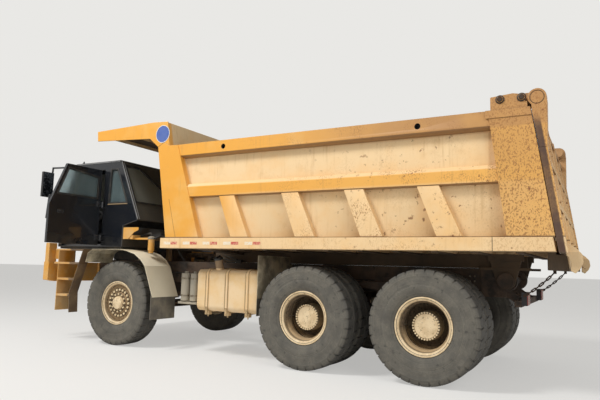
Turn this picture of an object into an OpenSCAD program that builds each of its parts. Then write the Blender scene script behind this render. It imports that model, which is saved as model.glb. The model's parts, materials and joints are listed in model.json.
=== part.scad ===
// Six-wheel mining dump truck, parked with its tub down and its cab door open.
// Lengths are millimetres. X points forward, Y to the truck's left, Z up.
// Everything is drawn about the middle axle's foot on the centreline, then moved
// so that the origin is at the bottom centre of the whole truck's box.

/* [Wheels and axles] */
// Outer radius of a tyre at its lug tips
tyre_r = 685; // [640:1:700]
// Section width of a tyre
tyre_w = 375; // [340:1:390]
// Lugs on each shoulder of a tyre
tyre_lugs = 34; // [24:1:40]
// Depth of the grooves between the lugs
lug_depth = 12; // [8:1:28]
// Radius of a rim's flange
rim_r = 354; // [340:1:370]
// Gap between twin tyres
twin_gap = 50; // [35:1:70]
// Distance from the middle axle to the front axle
front_base = 3550; // [3500:5:3600]
// Distance from the middle axle to the rear axle
rear_base = 1625; // [1560:5:1680]
// Distance between the front tyres' centre planes
front_track = 2654; // [2600:2:2700]
// Distance between the outer rear tyres' centre planes
rear_track = 2850; // [2800:2:2900]

/* [Frame] */
// Distance over the outsides of the frame rails
rail_over = 1040; // [980:2:1080]
// Height of a frame rail
rail_h = 360; // [320:2:380]
// Top of the frame rails above the ground
rail_top = 1390; // [1370:1:1395]
// Flange width of a frame rail
rail_flange = 90; // [70:1:110]
// Wall of a frame rail
rail_wall = 16; // [12:1:24]
// Front end of the frame rails, forward of the middle axle
rail_front = 5080; // [5000:5:5110]
// Radius of the rounded tail end of each rail
rail_tail_r = 135; // [110:1:145]
// Distance of the tub's pivot behind the middle axle
pivot_back = 2420; // [2360:5:2460]
// Height of the tub's pivot
pivot_z = 1243; // [1235:1:1250]
// Radius of the tub's pivot shaft
pivot_r = 55; // [40:1:65]

/* [Tub] */
// Outer half width of the tub at its posts
tub_half = 1720; // [1690:5:1760]
// How far the sill stands proud of the posts
sill_proud = 14; // [4:1:30]
// Underside of the sill
sill_low = 1585; // [1560:1:1600]
// Top of the sill
sill_top = 1739; // [1720:1:1760]
// Front end of the sill
sill_front = 2424; // [2380:2:2460]
// Top of the side walls
wall_top = 3183; // [3140:1:3230]
// Thickness of the side sheets and of the floor sheet
sheet = 18; // [10:1:25]
// How far the side sheets lie inside the posts' outer faces
wall_set = 120; // [90:1:140]
// Height of the top rail
top_rail_h = 200; // [160:1:230]
// Top of the middle rail
mid_rail_top = 2563; // [2520:1:2600]
// Height of the middle rail
mid_rail_h = 211; // [180:1:240]
// Rear edge of the tail posts at the wall's top, behind the middle axle
post_back = 2877; // [2850:1:2900]
// Width of the tail posts along the truck
post_w = 468; // [420:2:500]
// Slope of the tail, rearwards over downwards
tail_slope = 0.147; // [0.12:0.001:0.16]
// Top of the canopy
canopy_top = 3590; // [3560:1:3620]
// Front edge of the canopy, forward of the middle axle
canopy_front = 3987; // [3900:1:4050]
// Depth of the canopy's side flange at the front
canopy_flange = 167; // [140:1:190]
// Underside of the tub's long beams
beam_low = 1402; // [1400:1:1410]

/* [Tailgate] */
// Radius of the tailgate's pivot discs
gate_disc_r = 98; // [70:1:100]
// Distance of the tailgate's pivot behind the middle axle
gate_axis_back = 2948; // [2940:1:2960]
// Height of the tailgate's pivot
gate_axis_z = 3284; // [3284:1:3300]
// Thickness of the tailgate
gate_t = 90; // [80:1:130]
// Gap between the tail posts and the tailgate
gate_gap = 8; // [6:1:12]
// Underside of the tailgate
gate_low = 1568; // [1550:1:1580]
// Top of the tailgate's panel
gate_top = 3130; // [3080:1:3160]

/* [Cab] */
// Left face of the cab
cab_left = 1450; // [1430:1:1455]
// Right face of the cab
cab_right = 150; // [120:1:200]
// Underside of the cab
cab_low = 1605; // [1590:1:1620]
// Roof of the cab
cab_top = 3101; // [3060:1:3140]
// Front face of the cab, forward of the middle axle
cab_front = 5150; // [5120:2:5180]
// Thickness of the cab's walls
cab_wall = 50; // [40:1:60]
// Gap round the door
door_gap = 8; // [6:1:12]
// Thickness of the door
door_t = 45; // [35:1:50]
// Width of the door at its foot
door_w = 1000; // [980:1:1005]
// Radius of the door's hinge pins
hinge_r = 10; // [8:1:12]
// Thickness of the glass
glass_t = 8; // [6:1:10]

/* [Tanks and guards] */
// Length of the fuel tank
tank_len = 1090; // [900:5:1100]
// Rear end of the fuel tank, forward of the middle axle
tank_rear = 800; // [795:5:850]
// Top of the fuel tank
tank_top = 1284; // [1240:1:1300]
// Height of the fuel tank
tank_h = 620; // [560:5:640]
// Radius of an air tank
air_r = 75; // [60:1:85]
// Top of the front fenders
fender_top = 1566; // [1550:1:1575]
// Thickness of the fender sheets and guards
guard_t = 8; // [5:1:12]

/* [Steering and hoist] */
// Radius of the kingpins
kingpin_r = 30; // [24:1:34]
// Distance of the kingpins from the centreline
kingpin_y = 1160; // [1155:1:1180]
// Length of the steering arms
arm_len = 230; // [210:1:250]
// Outer radius of the hoist's barrel
barrel_r = 95; // [80:1:100]
// Running gap on pins and shafts
run_gap = 0.4; // [0.3:0.1:0.6]
// Gap between pieces that are bolted to each other
seat = 0.3; // [0.2:0.1:0.5]
// Least gap between pieces that move past each other
clear = 6; // [5:1:10]

/* [Hidden] */
$fn = 48;
yellow = "#d9a441";
cream = "#cdb68c";
black = "#1d2127";
grey = "#7d776b";
dark = "#3a352e";
rubber = "#4a4844";

// Reach of the whole truck, which sets the origin
hook_back = 3345;
bumper_front = 5250;
mirror_foot = 5330;
mirror_r = 16;
hinge_out = 30;
door_start = 15;
door_reach = cab_left + hinge_out + door_start + door_w;
mirror_reach = 1905;
centre_x = (mirror_foot + mirror_r + 2 - hook_back) / 2;
centre_y = (door_reach - mirror_reach) / 2;

rail_y = rail_over / 2;
rail_low = rail_top - rail_h;
front_tyre_y = front_track / 2;
outer_tyre_y = rear_track / 2;
inner_tyre_y = outer_tyre_y - tyre_w - twin_gap;
twin_mid_y = (outer_tyre_y + inner_tyre_y) / 2;
pivot_x = -pivot_back;

// Moves the truck's own point below the middle axle to its place in the common frame
module place() {
    translate([-centre_x, -centre_y, 0]) children();
}

// A copy on the left and a mirrored one on the right
module both_sides() {
    children();
    mirror([0, 1, 0]) children();
}

// The mirrored copy alone
module on_right() {
    mirror([0, 1, 0]) children();
}

// Prism with a side view given as [x, z] points, from y0 up to y1
module side(points, y0, y1) {
    translate([0, y1, 0]) rotate([90, 0, 0]) linear_extrude(y1 - y0) polygon(points);
}

// Prism with a front view given as [y, z] points, from x0 up to x1
module front(points, x0, x1) {
    translate([x0, 0, 0]) rotate([90, 0, 90]) linear_extrude(x1 - x0) polygon(points);
}

// Box between two corners
module block(a, b) {
    translate(a) cube([b[0] - a[0], b[1] - a[1], b[2] - a[2]]);
}

// Cylinders along each axis, between two values on it
module rod_x(r, x0, x1, y, z) {
    translate([x0, y, z]) rotate([0, 90, 0]) cylinder(r = r, h = x1 - x0);
}

module rod_y(r, y0, y1, x, z) {
    translate([x, y0, z]) rotate([-90, 0, 0]) cylinder(r = r, h = y1 - y0);
}

module rod_z(r, z0, z1, x, y) {
    translate([x, y, z0]) cylinder(r = r, h = z1 - z0);
}

// Round bar between two points
module bar(a, b, r) {
    d = b - a;
    len = norm(d);
    translate(a) rotate([0, acos(d[2] / len), atan2(d[1], d[0])]) cylinder(r = r, h = len);
}

// Body turned about the wheel's own axle line: profile points are [radius, distance outwards]
module spin(points, x, y) {
    translate([x, y, tyre_r]) rotate([-90, 0, 0]) rotate_extrude() polygon(points);
}

// Point where two edges meet after each has moved inwards by t
function edge_normal(a, b) = let (d = (b - a) / norm(b - a)) [-d[1], d[0]];
function meet(p, n, q, m) = let (det = n[0] * m[1] - n[1] * m[0], u = n * p, v = m * q)
    [(u * m[1] - v * n[1]) / det, (v * n[0] - u * m[0]) / det];
// Outline moved inwards by t all round; points run anticlockwise
function inset(points, t) = let (n = len(points)) [for (i = [0:n - 1])
    let (a = points[(i + n - 1) % n], b = points[i], c = points[(i + 1) % n],
        k = edge_normal(a, b), m = edge_normal(b, c))
    meet(b + t * k, k, b + t * m, m)];

// Wheels

tread_base = tyre_r - lug_depth;
bead_half = 127;
bead_r = rim_r - 32;
tyre_wall = 26;
wall_steps = 6;
// Half width of the carcass at a share u of its height: full at 55 %, drawn in to the bead and the crown
function bulge(u, half, foot) = u < 0.55
    ? half - (half - foot) * pow(1 - u / 0.55, 2)
    : half - 36 * pow((u - 0.55) / 0.45, 2.2);
// Section of a carcass as [radius, distance] points: bead, side wall, crown and back
function carcass(half, foot, low, high) = let (r0 = rim_r + 1, right = concat([[low, foot]],
    [for (i = [0:wall_steps]) let (u = i / wall_steps) [r0 + (high - r0) * u, bulge(u, half, foot)]]))
    concat(right, [for (i = [len(right) - 1:-1:0]) [right[i][0], -right[i][1]]]);

shoulder_set = 22;
notch_len = 112;
notch_w = 20;
// Ring of tread between two distances from the tyre's middle plane, notched all round
module lug_ring(a0, a1, phase) {
    lug_pitch = 360 / tyre_lugs;
    translate([0, 0, a0]) linear_extrude(a1 - a0) difference() {
        circle(r = tyre_r, $fn = 96);
        circle(r = tread_base - 30, $fn = 96);
        for (i = [0:tyre_lugs - 1]) rotate((i + phase) * lug_pitch)
            translate([tread_base, -notch_w / 2]) square([lug_depth * 2, notch_w]);
    }
}

module tyre(x, y) {
    half = tyre_w / 2;
    translate([x, y, tyre_r]) rotate([-90, 0, 0]) {
        difference() {
            rotate_extrude($fn = 96) polygon(carcass(half, bead_half - seat, bead_r + seat, tread_base - 4));
            rotate_extrude($fn = 96)
                polygon(carcass(half - tyre_wall, bead_half - tyre_wall, bead_r - 1, tread_base - 34));
        }
        lug_ring(-half + shoulder_set, -half + shoulder_set + notch_len, 0);
        lug_ring(half - shoulder_set - notch_len, half - shoulder_set, 0.5);
        rotate_extrude($fn = 96) translate([tread_base - 30, -half + shoulder_set + notch_len - 1])
            square([lug_depth + 30, tyre_w - 2 * (shoulder_set + notch_len) + 2]);
    }
}

// Rim barrel from one flange to the other about the plane a
function barrel(a) = [
    [rim_r, a - bead_half - 14], [rim_r, a - bead_half], [bead_r, a - bead_half], [bead_r, a - 60],
    [bead_r - 26, a - 40], [bead_r - 26, a + 40], [bead_r, a + 60], [bead_r, a + bead_half],
    [rim_r, a + bead_half], [rim_r, a + bead_half + 14], [bead_r + 14, a + bead_half + 14],
    [bead_r - 18, a + bead_half - 12], [bead_r - 18, a + 66], [bead_r - 44, a + 46],
    [bead_r - 44, a - 46], [bead_r - 18, a - 66], [bead_r - 18, a - bead_half + 12],
    [bead_r + 14, a - bead_half - 14]];

nut_rings = [[20, 212, 11], [12, 142, 9]]; // count, radius of the ring, nut radius
spindle_r = 52;
hub_low = -30;
module front_rim(x, y) {
    disc = 70;
    spin(barrel(0), x, y);
    spin([[bead_r - 20, disc - 34], [bead_r - 20, disc - 8], [240, disc + 8], [175, disc + 8], [160,
        disc + 30],
        [105, disc + 36], [98, disc + 70], [0, disc + 76], [0, 46], [spindle_r + run_gap, 46],
        [spindle_r + run_gap, hub_low], [150, hub_low], [165, disc - 30], [240, disc - 12]], x, y);
    for (ring = nut_rings) for (i = [0:ring[0] - 1]) {
        angle = i * 360 / ring[0];
        rod_y(ring[2], y + disc - 2, y + disc + (ring[1] > 175 ? 26 : 48),
            x + ring[1] * cos(angle), tyre_r + ring[1] * sin(angle));
    }
}

cap_r = 172;
cap_bolts = 30;
axle_tube_r = 88;
module twin_rims(x) {
    mid_y = twin_mid_y;
    spin(barrel(outer_tyre_y - mid_y), x, mid_y);
    spin(barrel(inner_tyre_y - mid_y), x, mid_y);
    // Spacer band between the twins, disc and hub with its planetary cap
    spin([[bead_r - 34, -95], [bead_r - 8, -95], [bead_r - 8, 95], [bead_r - 34, 95]], x, mid_y);
    spin([[bead_r - 20, -26], [bead_r - 20, 26], [230, 14], [200, 40], [cap_r + 4, 60], [cap_r + 4, 150],
        [cap_r, 214], [cap_r - 24, 222], [0, 228], [0, 130], [axle_tube_r + run_gap, 130],
        [axle_tube_r + run_gap, -150], [170, -150], [190, -40], [230, -14]], x, mid_y);
    for (i = [0:cap_bolts - 1]) {
        angle = i * 360 / cap_bolts;
        rod_y(8, mid_y + 210, mid_y + 236, x + (cap_r - 12) * cos(angle), tyre_r + (cap_r - 12) * sin(angle));
    }
}

module twin_tyres(x) {
    tyre(x, outer_tyre_y);
    tyre(x, inner_tyre_y);
}

// Chassis

rail_nose_h = 250;
// Side view of a rail without its round tail, drawn in by t: deep to the rear, shallow at the nose
function rail_outline(t) = [[pivot_x, rail_low + t], [3300, rail_low + t], [3800, rail_top - rail_nose_h + t],
    [rail_front, rail_top - rail_nose_h + t], [rail_front, rail_top - t], [pivot_x, rail_top - t]];

module frame_rail() {
    y = rail_y;
    difference() {
        side(rail_outline(0), y - rail_flange, y);
        side(rail_outline(rail_wall), y - rail_flange - 1, y - rail_wall);
    }
    // Round tail about the pivot shaft, with a doubler over the web
    rod_y(rail_tail_r, y - rail_flange, y + 10, pivot_x, pivot_z);
    side([[pivot_x, rail_low], [pivot_x + 320, rail_low], [pivot_x + 320, rail_top], [pivot_x, rail_top]],
        y - rail_wall, y + 10);
}

ear_in = 22;
ear_out = 72;
pivot_cap = 102;
tail_bar_back = 230;
tail_bar_low = 940;
cross_members = [-1990, -1250, -480, 420, 1300, 2190, 4980]; // place of each along the frame
module frame() {
    color(dark) {
        both_sides() frame_rail();
        for (x = cross_members)
            block([x - 55, -rail_y + rail_wall - 2, rail_top - 200],
                [x + 55, rail_y - rail_wall + 2, rail_top - 60]);
        // Pivot shaft through both rails, and the tail bar on its two arms
        rod_y(pivot_r, -rail_y - pivot_cap, rail_y + pivot_cap, pivot_x, pivot_z);
        both_sides() rod_y(105, rail_y + ear_out + clear, rail_y + pivot_cap, pivot_x, pivot_z);
        both_sides() side([[pivot_x - 40, pivot_z - 110], [pivot_x + 90, pivot_z - 150],
            [pivot_x - 120, tail_bar_low + 10], [pivot_x - tail_bar_back, tail_bar_low + 10],
            [pivot_x - tail_bar_back, tail_bar_low + 80], [pivot_x - 140, tail_bar_low + 120]],
            rail_y - 60, rail_y - 30);
        block([pivot_x - tail_bar_back, -960, tail_bar_low], [pivot_x - 150, 960, tail_bar_low + 80]);
        // Cross tube that carries the hoist
        rod_y(hoist_pin_r, -rail_y + 4, rail_y - 4, hoist_foot[0], hoist_foot[1]);
    }
}

tow_pin_r = 25;
tow_ear_r = 44;
tow_ear = 35;
tow_gap = 68;
tow_z = 1145;
tow_x = bumper_front + 50;
module front_bumper() {
    color(yellow) {
        difference() {
            union() {
                front([[-1630, 1010], [-1480, 985], [1480, 985], [1630, 1010], [1630, 1330], [-1630, 1330]],
                    5120, bumper_front);
                both_sides() block([5130, 1470, 1300], [bumper_front - 20, 1630, 1665]);
            }
            // Lamp recesses
            both_sides() block([bumper_front - 90, 1080, 1110], [bumper_front + 1, 1400, 1270]);
        }
        // Tow eye: two ears on the bumper's face with a bore through both
        difference() {
            both_sides() {
                block([bumper_front - 2, tow_gap / 2, tow_z - tow_ear_r], [tow_x, tow_gap / 2 + tow_ear,
                    tow_z + tow_ear_r]);
                rod_y(tow_ear_r, tow_gap / 2, tow_gap / 2 + tow_ear, tow_x, tow_z);
            }
            rod_y(tow_pin_r, -tow_gap - tow_ear, tow_gap + tow_ear, tow_x, tow_z);
        }
        both_sides() block([rail_front + seat, rail_y - 80, 1160], [5125, rail_y + 20, 1320]);
    }
}

axle_z = tyre_r;
eye_r = 58;
module front_axle() {
    x = front_base;
    web = 14;
    color(dark) {
        // Dropped beam of I section between the kingpin eyes
        difference() {
            front([[-kingpin_y, axle_z + 60], [-kingpin_y, axle_z - 60], [-860, axle_z - 60],
                [-700, axle_z - 125], [700, axle_z - 125], [860, axle_z - 60], [kingpin_y, axle_z - 60],
                [kingpin_y, axle_z + 60], [840, axle_z + 60], [680, axle_z + 5], [-680, axle_z + 5],
                [-840, axle_z + 60]], x - 55, x + 55);
            for (s = [-1, 1]) block([x + (s < 0 ? -56 : web), -620, axle_z - 103],
                [x + (s < 0 ? -web : 56), 620, axle_z - 17]);
        }
        both_sides() rod_z(eye_r, axle_z - 60, axle_z + 60, x, kingpin_y);
        both_sides() rod_z(kingpin_r, axle_z - 150, axle_z + 150, x, kingpin_y);
        // Spring seats
        both_sides() block([x - 90, rail_y - 92, axle_z + 4], [x + 90, rail_y - 2, axle_z + 34]);
    }
}

// Leaves of a spring pack: each is shorter than the one above
module leaf_pack(x, y, z_mid, length, rise, leaves, up) {
    for (i = [0:leaves - 1]) {
        half = length / 2 * (1 - 0.11 * i);
        z0 = z_mid + up * i * -17;
        h = rise * pow(half / (length / 2), 2);
        side([[x - half, z0 + up * h], [x - half * 0.5, z0 + up * h * 0.25], [x, z0], [x + half * 0.5,
            z0 + up * h * 0.25],
            [x + half, z0 + up * h], [x + half, z0 + up * h + 17], [x + half * 0.5, z0 + up * h * 0.25 + 17],
            [x, z0 + 17], [x - half * 0.5, z0 + up * h * 0.25 + 17], [x - half, z0 + up * h + 17]], y - 45,
                y + 45);
    }
}

bogie_x = -rear_base / 2;
module springs() {
    color(dark) both_sides() {
        // Front spring below the rail with its clamp and end brackets
        leaf_pack(front_base, rail_y - 47, axle_z + 102, 1560, 130, 5, 1);
        block([front_base - 60, rail_y - 96, axle_z + 34 + seat], [front_base + 60, rail_y + 2,
            axle_z + 130]);
        for (s = [-1, 1]) block([front_base + s * 770 - 45, rail_y - 92, axle_z + 205],
            [front_base + s * 770 + 45, rail_y - 2, (s < 0 ? rail_low : rail_top - rail_nose_h) - seat]);
        // Bogie spring beside the rail on its trunnion
        leaf_pack(bogie_x, rail_y + 95, 1045, 1560, -170, 7, -1);
        side([[bogie_x - 190, 1240], [bogie_x + 190, 1240], [bogie_x + 90, 800], [bogie_x - 90, 800]],
            rail_y + seat, rail_y + 40);
        rod_y(75, rail_y + 30, rail_y + 165, bogie_x, 905);
        block([bogie_x - 90, rail_y + 46, 960], [bogie_x + 90, rail_y + 144, 1050]);
    }
}

module drive_axle(x) {
    end = twin_mid_y + 130 - run_gap;
    color(dark) {
        // Tapered housing with its differential bowl
        translate([x, 0, axle_z]) rotate([-90, 0, 0]) rotate_extrude() polygon([
            [0, -end], [axle_tube_r, -end], [axle_tube_r, -760], [130, -640], [130, -330],
            [190, -240], [190, 240], [130, 330], [130, 640], [axle_tube_r, 760], [axle_tube_r, end], [0,
                end]]);
        translate([x + 20, 0, axle_z]) rotate([0, 90, 0]) rotate_extrude() polygon([
            [0, -250], [120, -240], [230, -150], [230, 60], [150, 190], [90, 210], [90, 330], [0, 330]]);
        // Spring saddle on each side
        both_sides() block([x - 75, rail_y + 50, axle_z + 80], [x + 75, rail_y + 140, axle_z + 178]);
    }
}

module drive_axles() {
    for (x = [0, -rear_base]) drive_axle(x);
}

gearbox_back = 2790;
module prop_shafts() {
    color(dark) {
        rod_x(48, -rear_base + 350 + seat, -230 - seat, 0, axle_z);
        bar([350 + 30, 0, axle_z + 6], [gearbox_back + 10, 0, 850], 54);
        rod_x(70, 350 + seat, 400, 0, axle_z + 8);
        // Transmission behind the engine
        side([[gearbox_back, 770], [3100, 740], [engine_box[0][0] - seat, 800], [engine_box[0][0] - seat,
            1300],
            [3100, 1290], [gearbox_back, 1080]], -190, 190);
    }
}

engine_box = [[3590, -420, 860], [4760, 110, 1860]];
module engine() {
    color(grey) block(engine_box[0], engine_box[1]);
}

// Nose

hood_left = cab_right - 20;
hood_right = -1010;
hood_low = 1600;
hood_top = 2190;
hood_back = 3560;
hood_front = 5090;
hood_t = 12;
module hood() {
    color(black) difference() {
        side([[hood_back, hood_low + seat], [hood_front, hood_low + seat], [hood_front, hood_top - 120],
            [hood_front - 120, hood_top], [hood_back, hood_top]], hood_right, hood_left);
        side([[hood_back + hood_t, hood_low - 1], [hood_front - hood_t, hood_low - 1],
            [hood_front - hood_t, hood_top - 125],
            [hood_front - 125, hood_top - hood_t], [hood_back + hood_t, hood_top - hood_t]],
            hood_right + hood_t, hood_left - hood_t);
        // Side louvres
        for (i = [0:5]) block([3900 + i * 130, hood_right - 1, 1760], [3950 + i * 130,
            hood_right + hood_t + 1, 2000]);
    }
}

grille_left = 120;
grille_right = -1000;
grille_low = 1345;
grille_high = 2050;
slats = 9;
module grille() {
    color(black) {
        difference() {
            block([hood_front + seat, grille_right, grille_low], [hood_front + 60, grille_left, grille_high]);
            block([hood_front + 1, grille_right + 55, grille_low + 50],
                [hood_front + 61, grille_left - 55, grille_high - 50]);
        }
        slat_pitch = (grille_high - grille_low - 100) / (slats + 1);
        for (i = [1:slats])
            translate([hood_front + 30, grille_right + 50, grille_low + 50 + i * slat_pitch]) rotate([0,
                25, 0])
                translate([-22, 0, -4]) cube([44, grille_left - grille_right - 100, 8]);
        block([hood_front + seat, grille_right + 50, grille_low + 45],
            [hood_front + 8, grille_left - 50, grille_high - 45]);
    }
}

deck_z = 1640;
rail_posts = [[hood_back + 40, -1560], [4300, -1560], [5060, -1560], [5060, -1080]]; // x, y of each post
module deck() {
    color(yellow) {
        difference() {
            block([hood_back, -1600, deck_z - 40], [hood_front + 20, hood_right - 4, deck_z]);
            for (i = [0:8])
                block([hood_back + 120 + i * 160, -1540, deck_z - 41],
                    [hood_back + 200 + i * 160, -1100, deck_z + 1]);
        }
        for (p = rail_posts) rod_z(19, deck_z - 20, deck_z + 1000, p[0], p[1]);
        for (h = [520, 1000]) for (i = [0:len(rail_posts) - 2])
            bar([rail_posts[i][0], rail_posts[i][1], deck_z + h],
                [rail_posts[i + 1][0], rail_posts[i + 1][1], deck_z + h], 19);
    }
    // Bearers that stand on the frame below the deck and the engine cover
    color(dark) for (x = [hood_back + 80, 4960]) {
        block([x - 40, -1560, fender_top + clear + 2], [x + 40, -rail_y + 90, hood_low]);
        block([x - 40, -fender_y0 + 20, 1490], [x + 40, -rail_y + 90, hood_low - 5]);
        block([x - 40, -rail_y, rail_top + seat], [x + 40, -rail_y + 90, 1500]);
    }
}

// Cab

hinge_x = 4035;
hinge_y = cab_left + hinge_out;
knuckle_r = 20;
cab_rear = 3540;
screen_low = 2240; // where the windscreen's slope starts
roof_front = 4815;
roof_back = 3683;
back_low = [3211, 2053]; // lower end of the slanted rear face
cab_outline = [[cab_rear, cab_low], [cab_front, cab_low], [cab_front, screen_low], [roof_front, cab_top],
    [roof_back, cab_top], back_low, [cab_rear, 1960]];
door_foot = cab_low + 27;
door_end = door_start + door_w;
door_outline = [[door_start, door_foot], [door_end, door_foot], [door_end, 2245], [door_end - 290, 2935],
    [door_start, 2935]];
door_window = [[75, 2430], [door_end - 140, 2430], [door_end - 322, 2865], [75, 2800]];
quarter_window = [[3475, 2353], [3915, 2353], [3890, 2943], [3735, 2943]];
rear_window = [[cab_right + 95, 2368], [cab_left - 80, 2368], [cab_left - 80, 3010], [1040, 3010],
    [cab_right + 480, 2700], [cab_right + 95, 2700]];
windscreen = [[cab_right + 90, 2290], [cab_left - 90, 2290], [cab_left - 90, 3020], [cab_right + 90, 3020]];
right_window = [[3560, 2353], [4900, 2353], [4700, 2960], [3760, 2960]];
function shift_x(points, d) = [for (p = points) [p[0] + d, p[1]]];

module cab_shell() {
    color(black) difference() {
        side(cab_outline, cab_right, cab_left);
        side(inset(cab_outline, cab_wall), cab_right + cab_wall, cab_left - cab_wall);
        // Door opening, windows and the slanted screens
        side(inset(shift_x(door_outline, hinge_x), -door_gap), cab_left - cab_wall - 1, cab_left + 1);
        side(quarter_window, cab_left - cab_wall - 1, cab_left + 1);
        side(right_window, cab_right - 1, cab_right + cab_wall + 1);
        front(rear_window, 3200, 3780);
        front(windscreen, 4700, 5200);
    }
    hinge_pins();
}

cab_feet = [3640, 5000]; // place of the cab's bearers along the frame
beam_x = 3330;
can_x = 2990;
can_y = 1330;
module cab_mounts() {
    color(yellow) {
        // Bearers on the left rail with a round mount below each corner of the cab's inner floor
        for (x = cab_feet) {
            block([x - 45, rail_y - 80, rail_top + seat], [x + 45, 995, 1450]);
            for (y = [rail_y + 40, 940]) rod_z(48, 1440, cab_low - seat, x, y);
        }
        // Rear beam with the gusset below the cab's overhang
        block([beam_x, rail_y - 80, rail_top + seat], [beam_x + 70, rail_y, 1810]);
        block([beam_x, rail_y - 80, 1740], [beam_x + 70, cab_left - 30, 1810]);
        side([[3200, 1890], [3300, 1850], [3420, 1740], [cab_rear - seat, 1740], [cab_rear - seat, 1935],
            [3200, 1935]], cab_left - 30, cab_left - 18);
        // Filter canister on its arm
        rod_z(52, 1555, 1740, can_x, can_y);
        rod_z(40, 1512, 1560, can_x, can_y);
        block([can_x - 30, can_y - 40, 1735], [beam_x + 10, can_y + 40, 1765]);
    }
}

module cab_glass() {
    mid = cab_wall / 2 - glass_t / 2;
    color([0.5, 0.6, 0.65, 0.5]) {
        side(inset(quarter_window, run_gap), cab_left - mid - glass_t, cab_left - mid);
        side(inset(right_window, run_gap), cab_right + mid, cab_right + mid + glass_t);
        intersection() {
            front(inset(rear_window, run_gap), 3200, 3780);
            side([[back_low[0] + mid, back_low[1]], [back_low[0] + mid + glass_t, back_low[1]],
                [roof_back + mid + glass_t, cab_top], [roof_back + mid, cab_top]], cab_right, cab_left);
        }
        intersection() {
            front(inset(windscreen, run_gap), 4700, 5200);
            side([[cab_front - mid - glass_t, screen_low], [cab_front - mid, screen_low],
                [roof_front - mid, cab_top], [roof_front - mid - glass_t, cab_top]], cab_right, cab_left);
        }
    }
}

seat_x = 4150;
seat_y = 820;
floor_z = cab_low + cab_wall;
cushion_top = floor_z + 410;
module driver_seat() {
    color("#2b2b2b") {
        block([seat_x - 220, seat_y - 220, floor_z + seat], [seat_x + 200, seat_y + 220, floor_z + 300]);
        block([seat_x - 250, seat_y - 260, floor_z + 290], [seat_x + 260, seat_y + 260, cushion_top]);
        side([[seat_x - 250, cushion_top - 30], [seat_x - 120, cushion_top - 30],
            [seat_x - 230, cushion_top + 590], [seat_x - 330, cushion_top + 590]], seat_y - 240,
                seat_y + 240);
    }
}

dash_top = 2200;
hand_x = 4660;
hand_z = 2330;
hand_r = 215;
module dashboard() {
    wall_x = cab_front - cab_wall - seat;
    color("#2b2b2b") {
        // Panel across the front wall with the steering column and its wheel
        side([[wall_x, floor_z + 250], [wall_x, dash_top], [4900, dash_top], [4820, dash_top - 100],
            [4960, floor_z + 250]], cab_right + cab_wall + seat, cab_left - cab_wall - 80);
        bar([hand_x + 270, seat_y, hand_z - 270], [hand_x, seat_y, hand_z], 34);
        translate([hand_x, seat_y, hand_z]) rotate([0, -45, 0]) {
            rotate_extrude() translate([hand_r, 0]) circle(r = 17, $fn = 20);
            translate([0, 0, -6]) cylinder(r = 50, h = 12);
            for (a = [0, 120, 240]) rotate(a) translate([0, -15, -5]) cube([hand_r - 1, 30, 10]);
        }
    }
}

hinge_z = [1760, 2330]; // height of each hinge
// Draws its children shut against the hinge line, then swings them open
module door_swing() {
    translate([hinge_x, hinge_y, 0]) rotate([0, 0, 90]) children();
}

module door() {
    outer = -hinge_out;
    door_swing() color(black) {
        difference() {
            side(door_outline, outer - door_t, outer);
            side(door_window, outer - door_t - 1, outer + 1);
        }
        // Hinge knuckles, each on a strap over the door's outer face
        for (z = hinge_z) difference() {
            union() {
                rod_z(knuckle_r, z - 50, z + 50, 0, 0);
                block([0, outer + 8, z - 50], [95, outer + 18, z + 50]);
                block([25, outer - 1, z - 50], [95, outer + 10, z + 50]);
            }
            rod_z(hinge_r + run_gap, z - 51, z + 51, 0, 0);
        }
        // Grab handle on the inner face
        rod_z(12, 2060, 2390, door_end - 60, outer - door_t - 45);
        for (z = [2072, 2378]) rod_y(10, outer - door_t - 50, outer - door_t + 4, door_end - 60, z);
    }
}

module door_glass() {
    mid = -hinge_out - door_t / 2;
    door_swing() color([0.5, 0.6, 0.65, 0.5])
        side(inset(door_window, run_gap), mid - glass_t / 2, mid + glass_t / 2);
}

// Pins and lugs that stand on the cab's side
module hinge_pins() {
    color(black) for (z = hinge_z) {
        rod_z(hinge_r, z - 66, z + 66, hinge_x, hinge_y);
        for (s = [-1, 1]) {
            z0 = z + s * (50 + clear + 6) - 6;
            block([hinge_x - 60, cab_left - 2, z0], [hinge_x + 14, hinge_y + 14, z0 + 12]);
        }
    }
}

treads = [[783, 4523, 4877], [1058, 4434, 4877], [1333, 4328, 4975]]; // height, rear and front end of each
stringer = [[4502, 481], [4526, 817], [4340, 1302], [4243, 1560]]; // x, z up the rear stringer's rear face
module ladder() {
    y0 = cab_left + 10;
    y1 = cab_left + 175;
    platform = 1560;
    front_x = 4862;
    color(yellow) {
        block([front_x, y0 - 180, 500], [front_x + 15, y1, platform]);
        for (t = treads) block([t[1] + 2, y0, t[0] - 35], [t[2], y1, t[0]]);
        block([stringer[3][0] + 2, y0 - 170, platform - 25], [4960, y1, platform]);
        block([4950, y0 - 170, 1380], [5130 - seat, y0 + 40, platform]);
    }
    // Rear stringer: a plate across the treads' rear ends
    color(grey) side(concat(stringer, below(stringer, 12)), y0 - 10, y1 + 4);
}

fender_y0 = 1010;
fender_y1 = 1600;
// Side view of a fender's outer face from its rear foot over the top to the front, as x, z
fender_line = [[2642, 822], [2843, 1306], [2944, 1410], [3087, 1499], [3262, 1544], [3393, fender_top],
    [4060, fender_top], [4170, 1500], [4215, 1340]];
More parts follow.
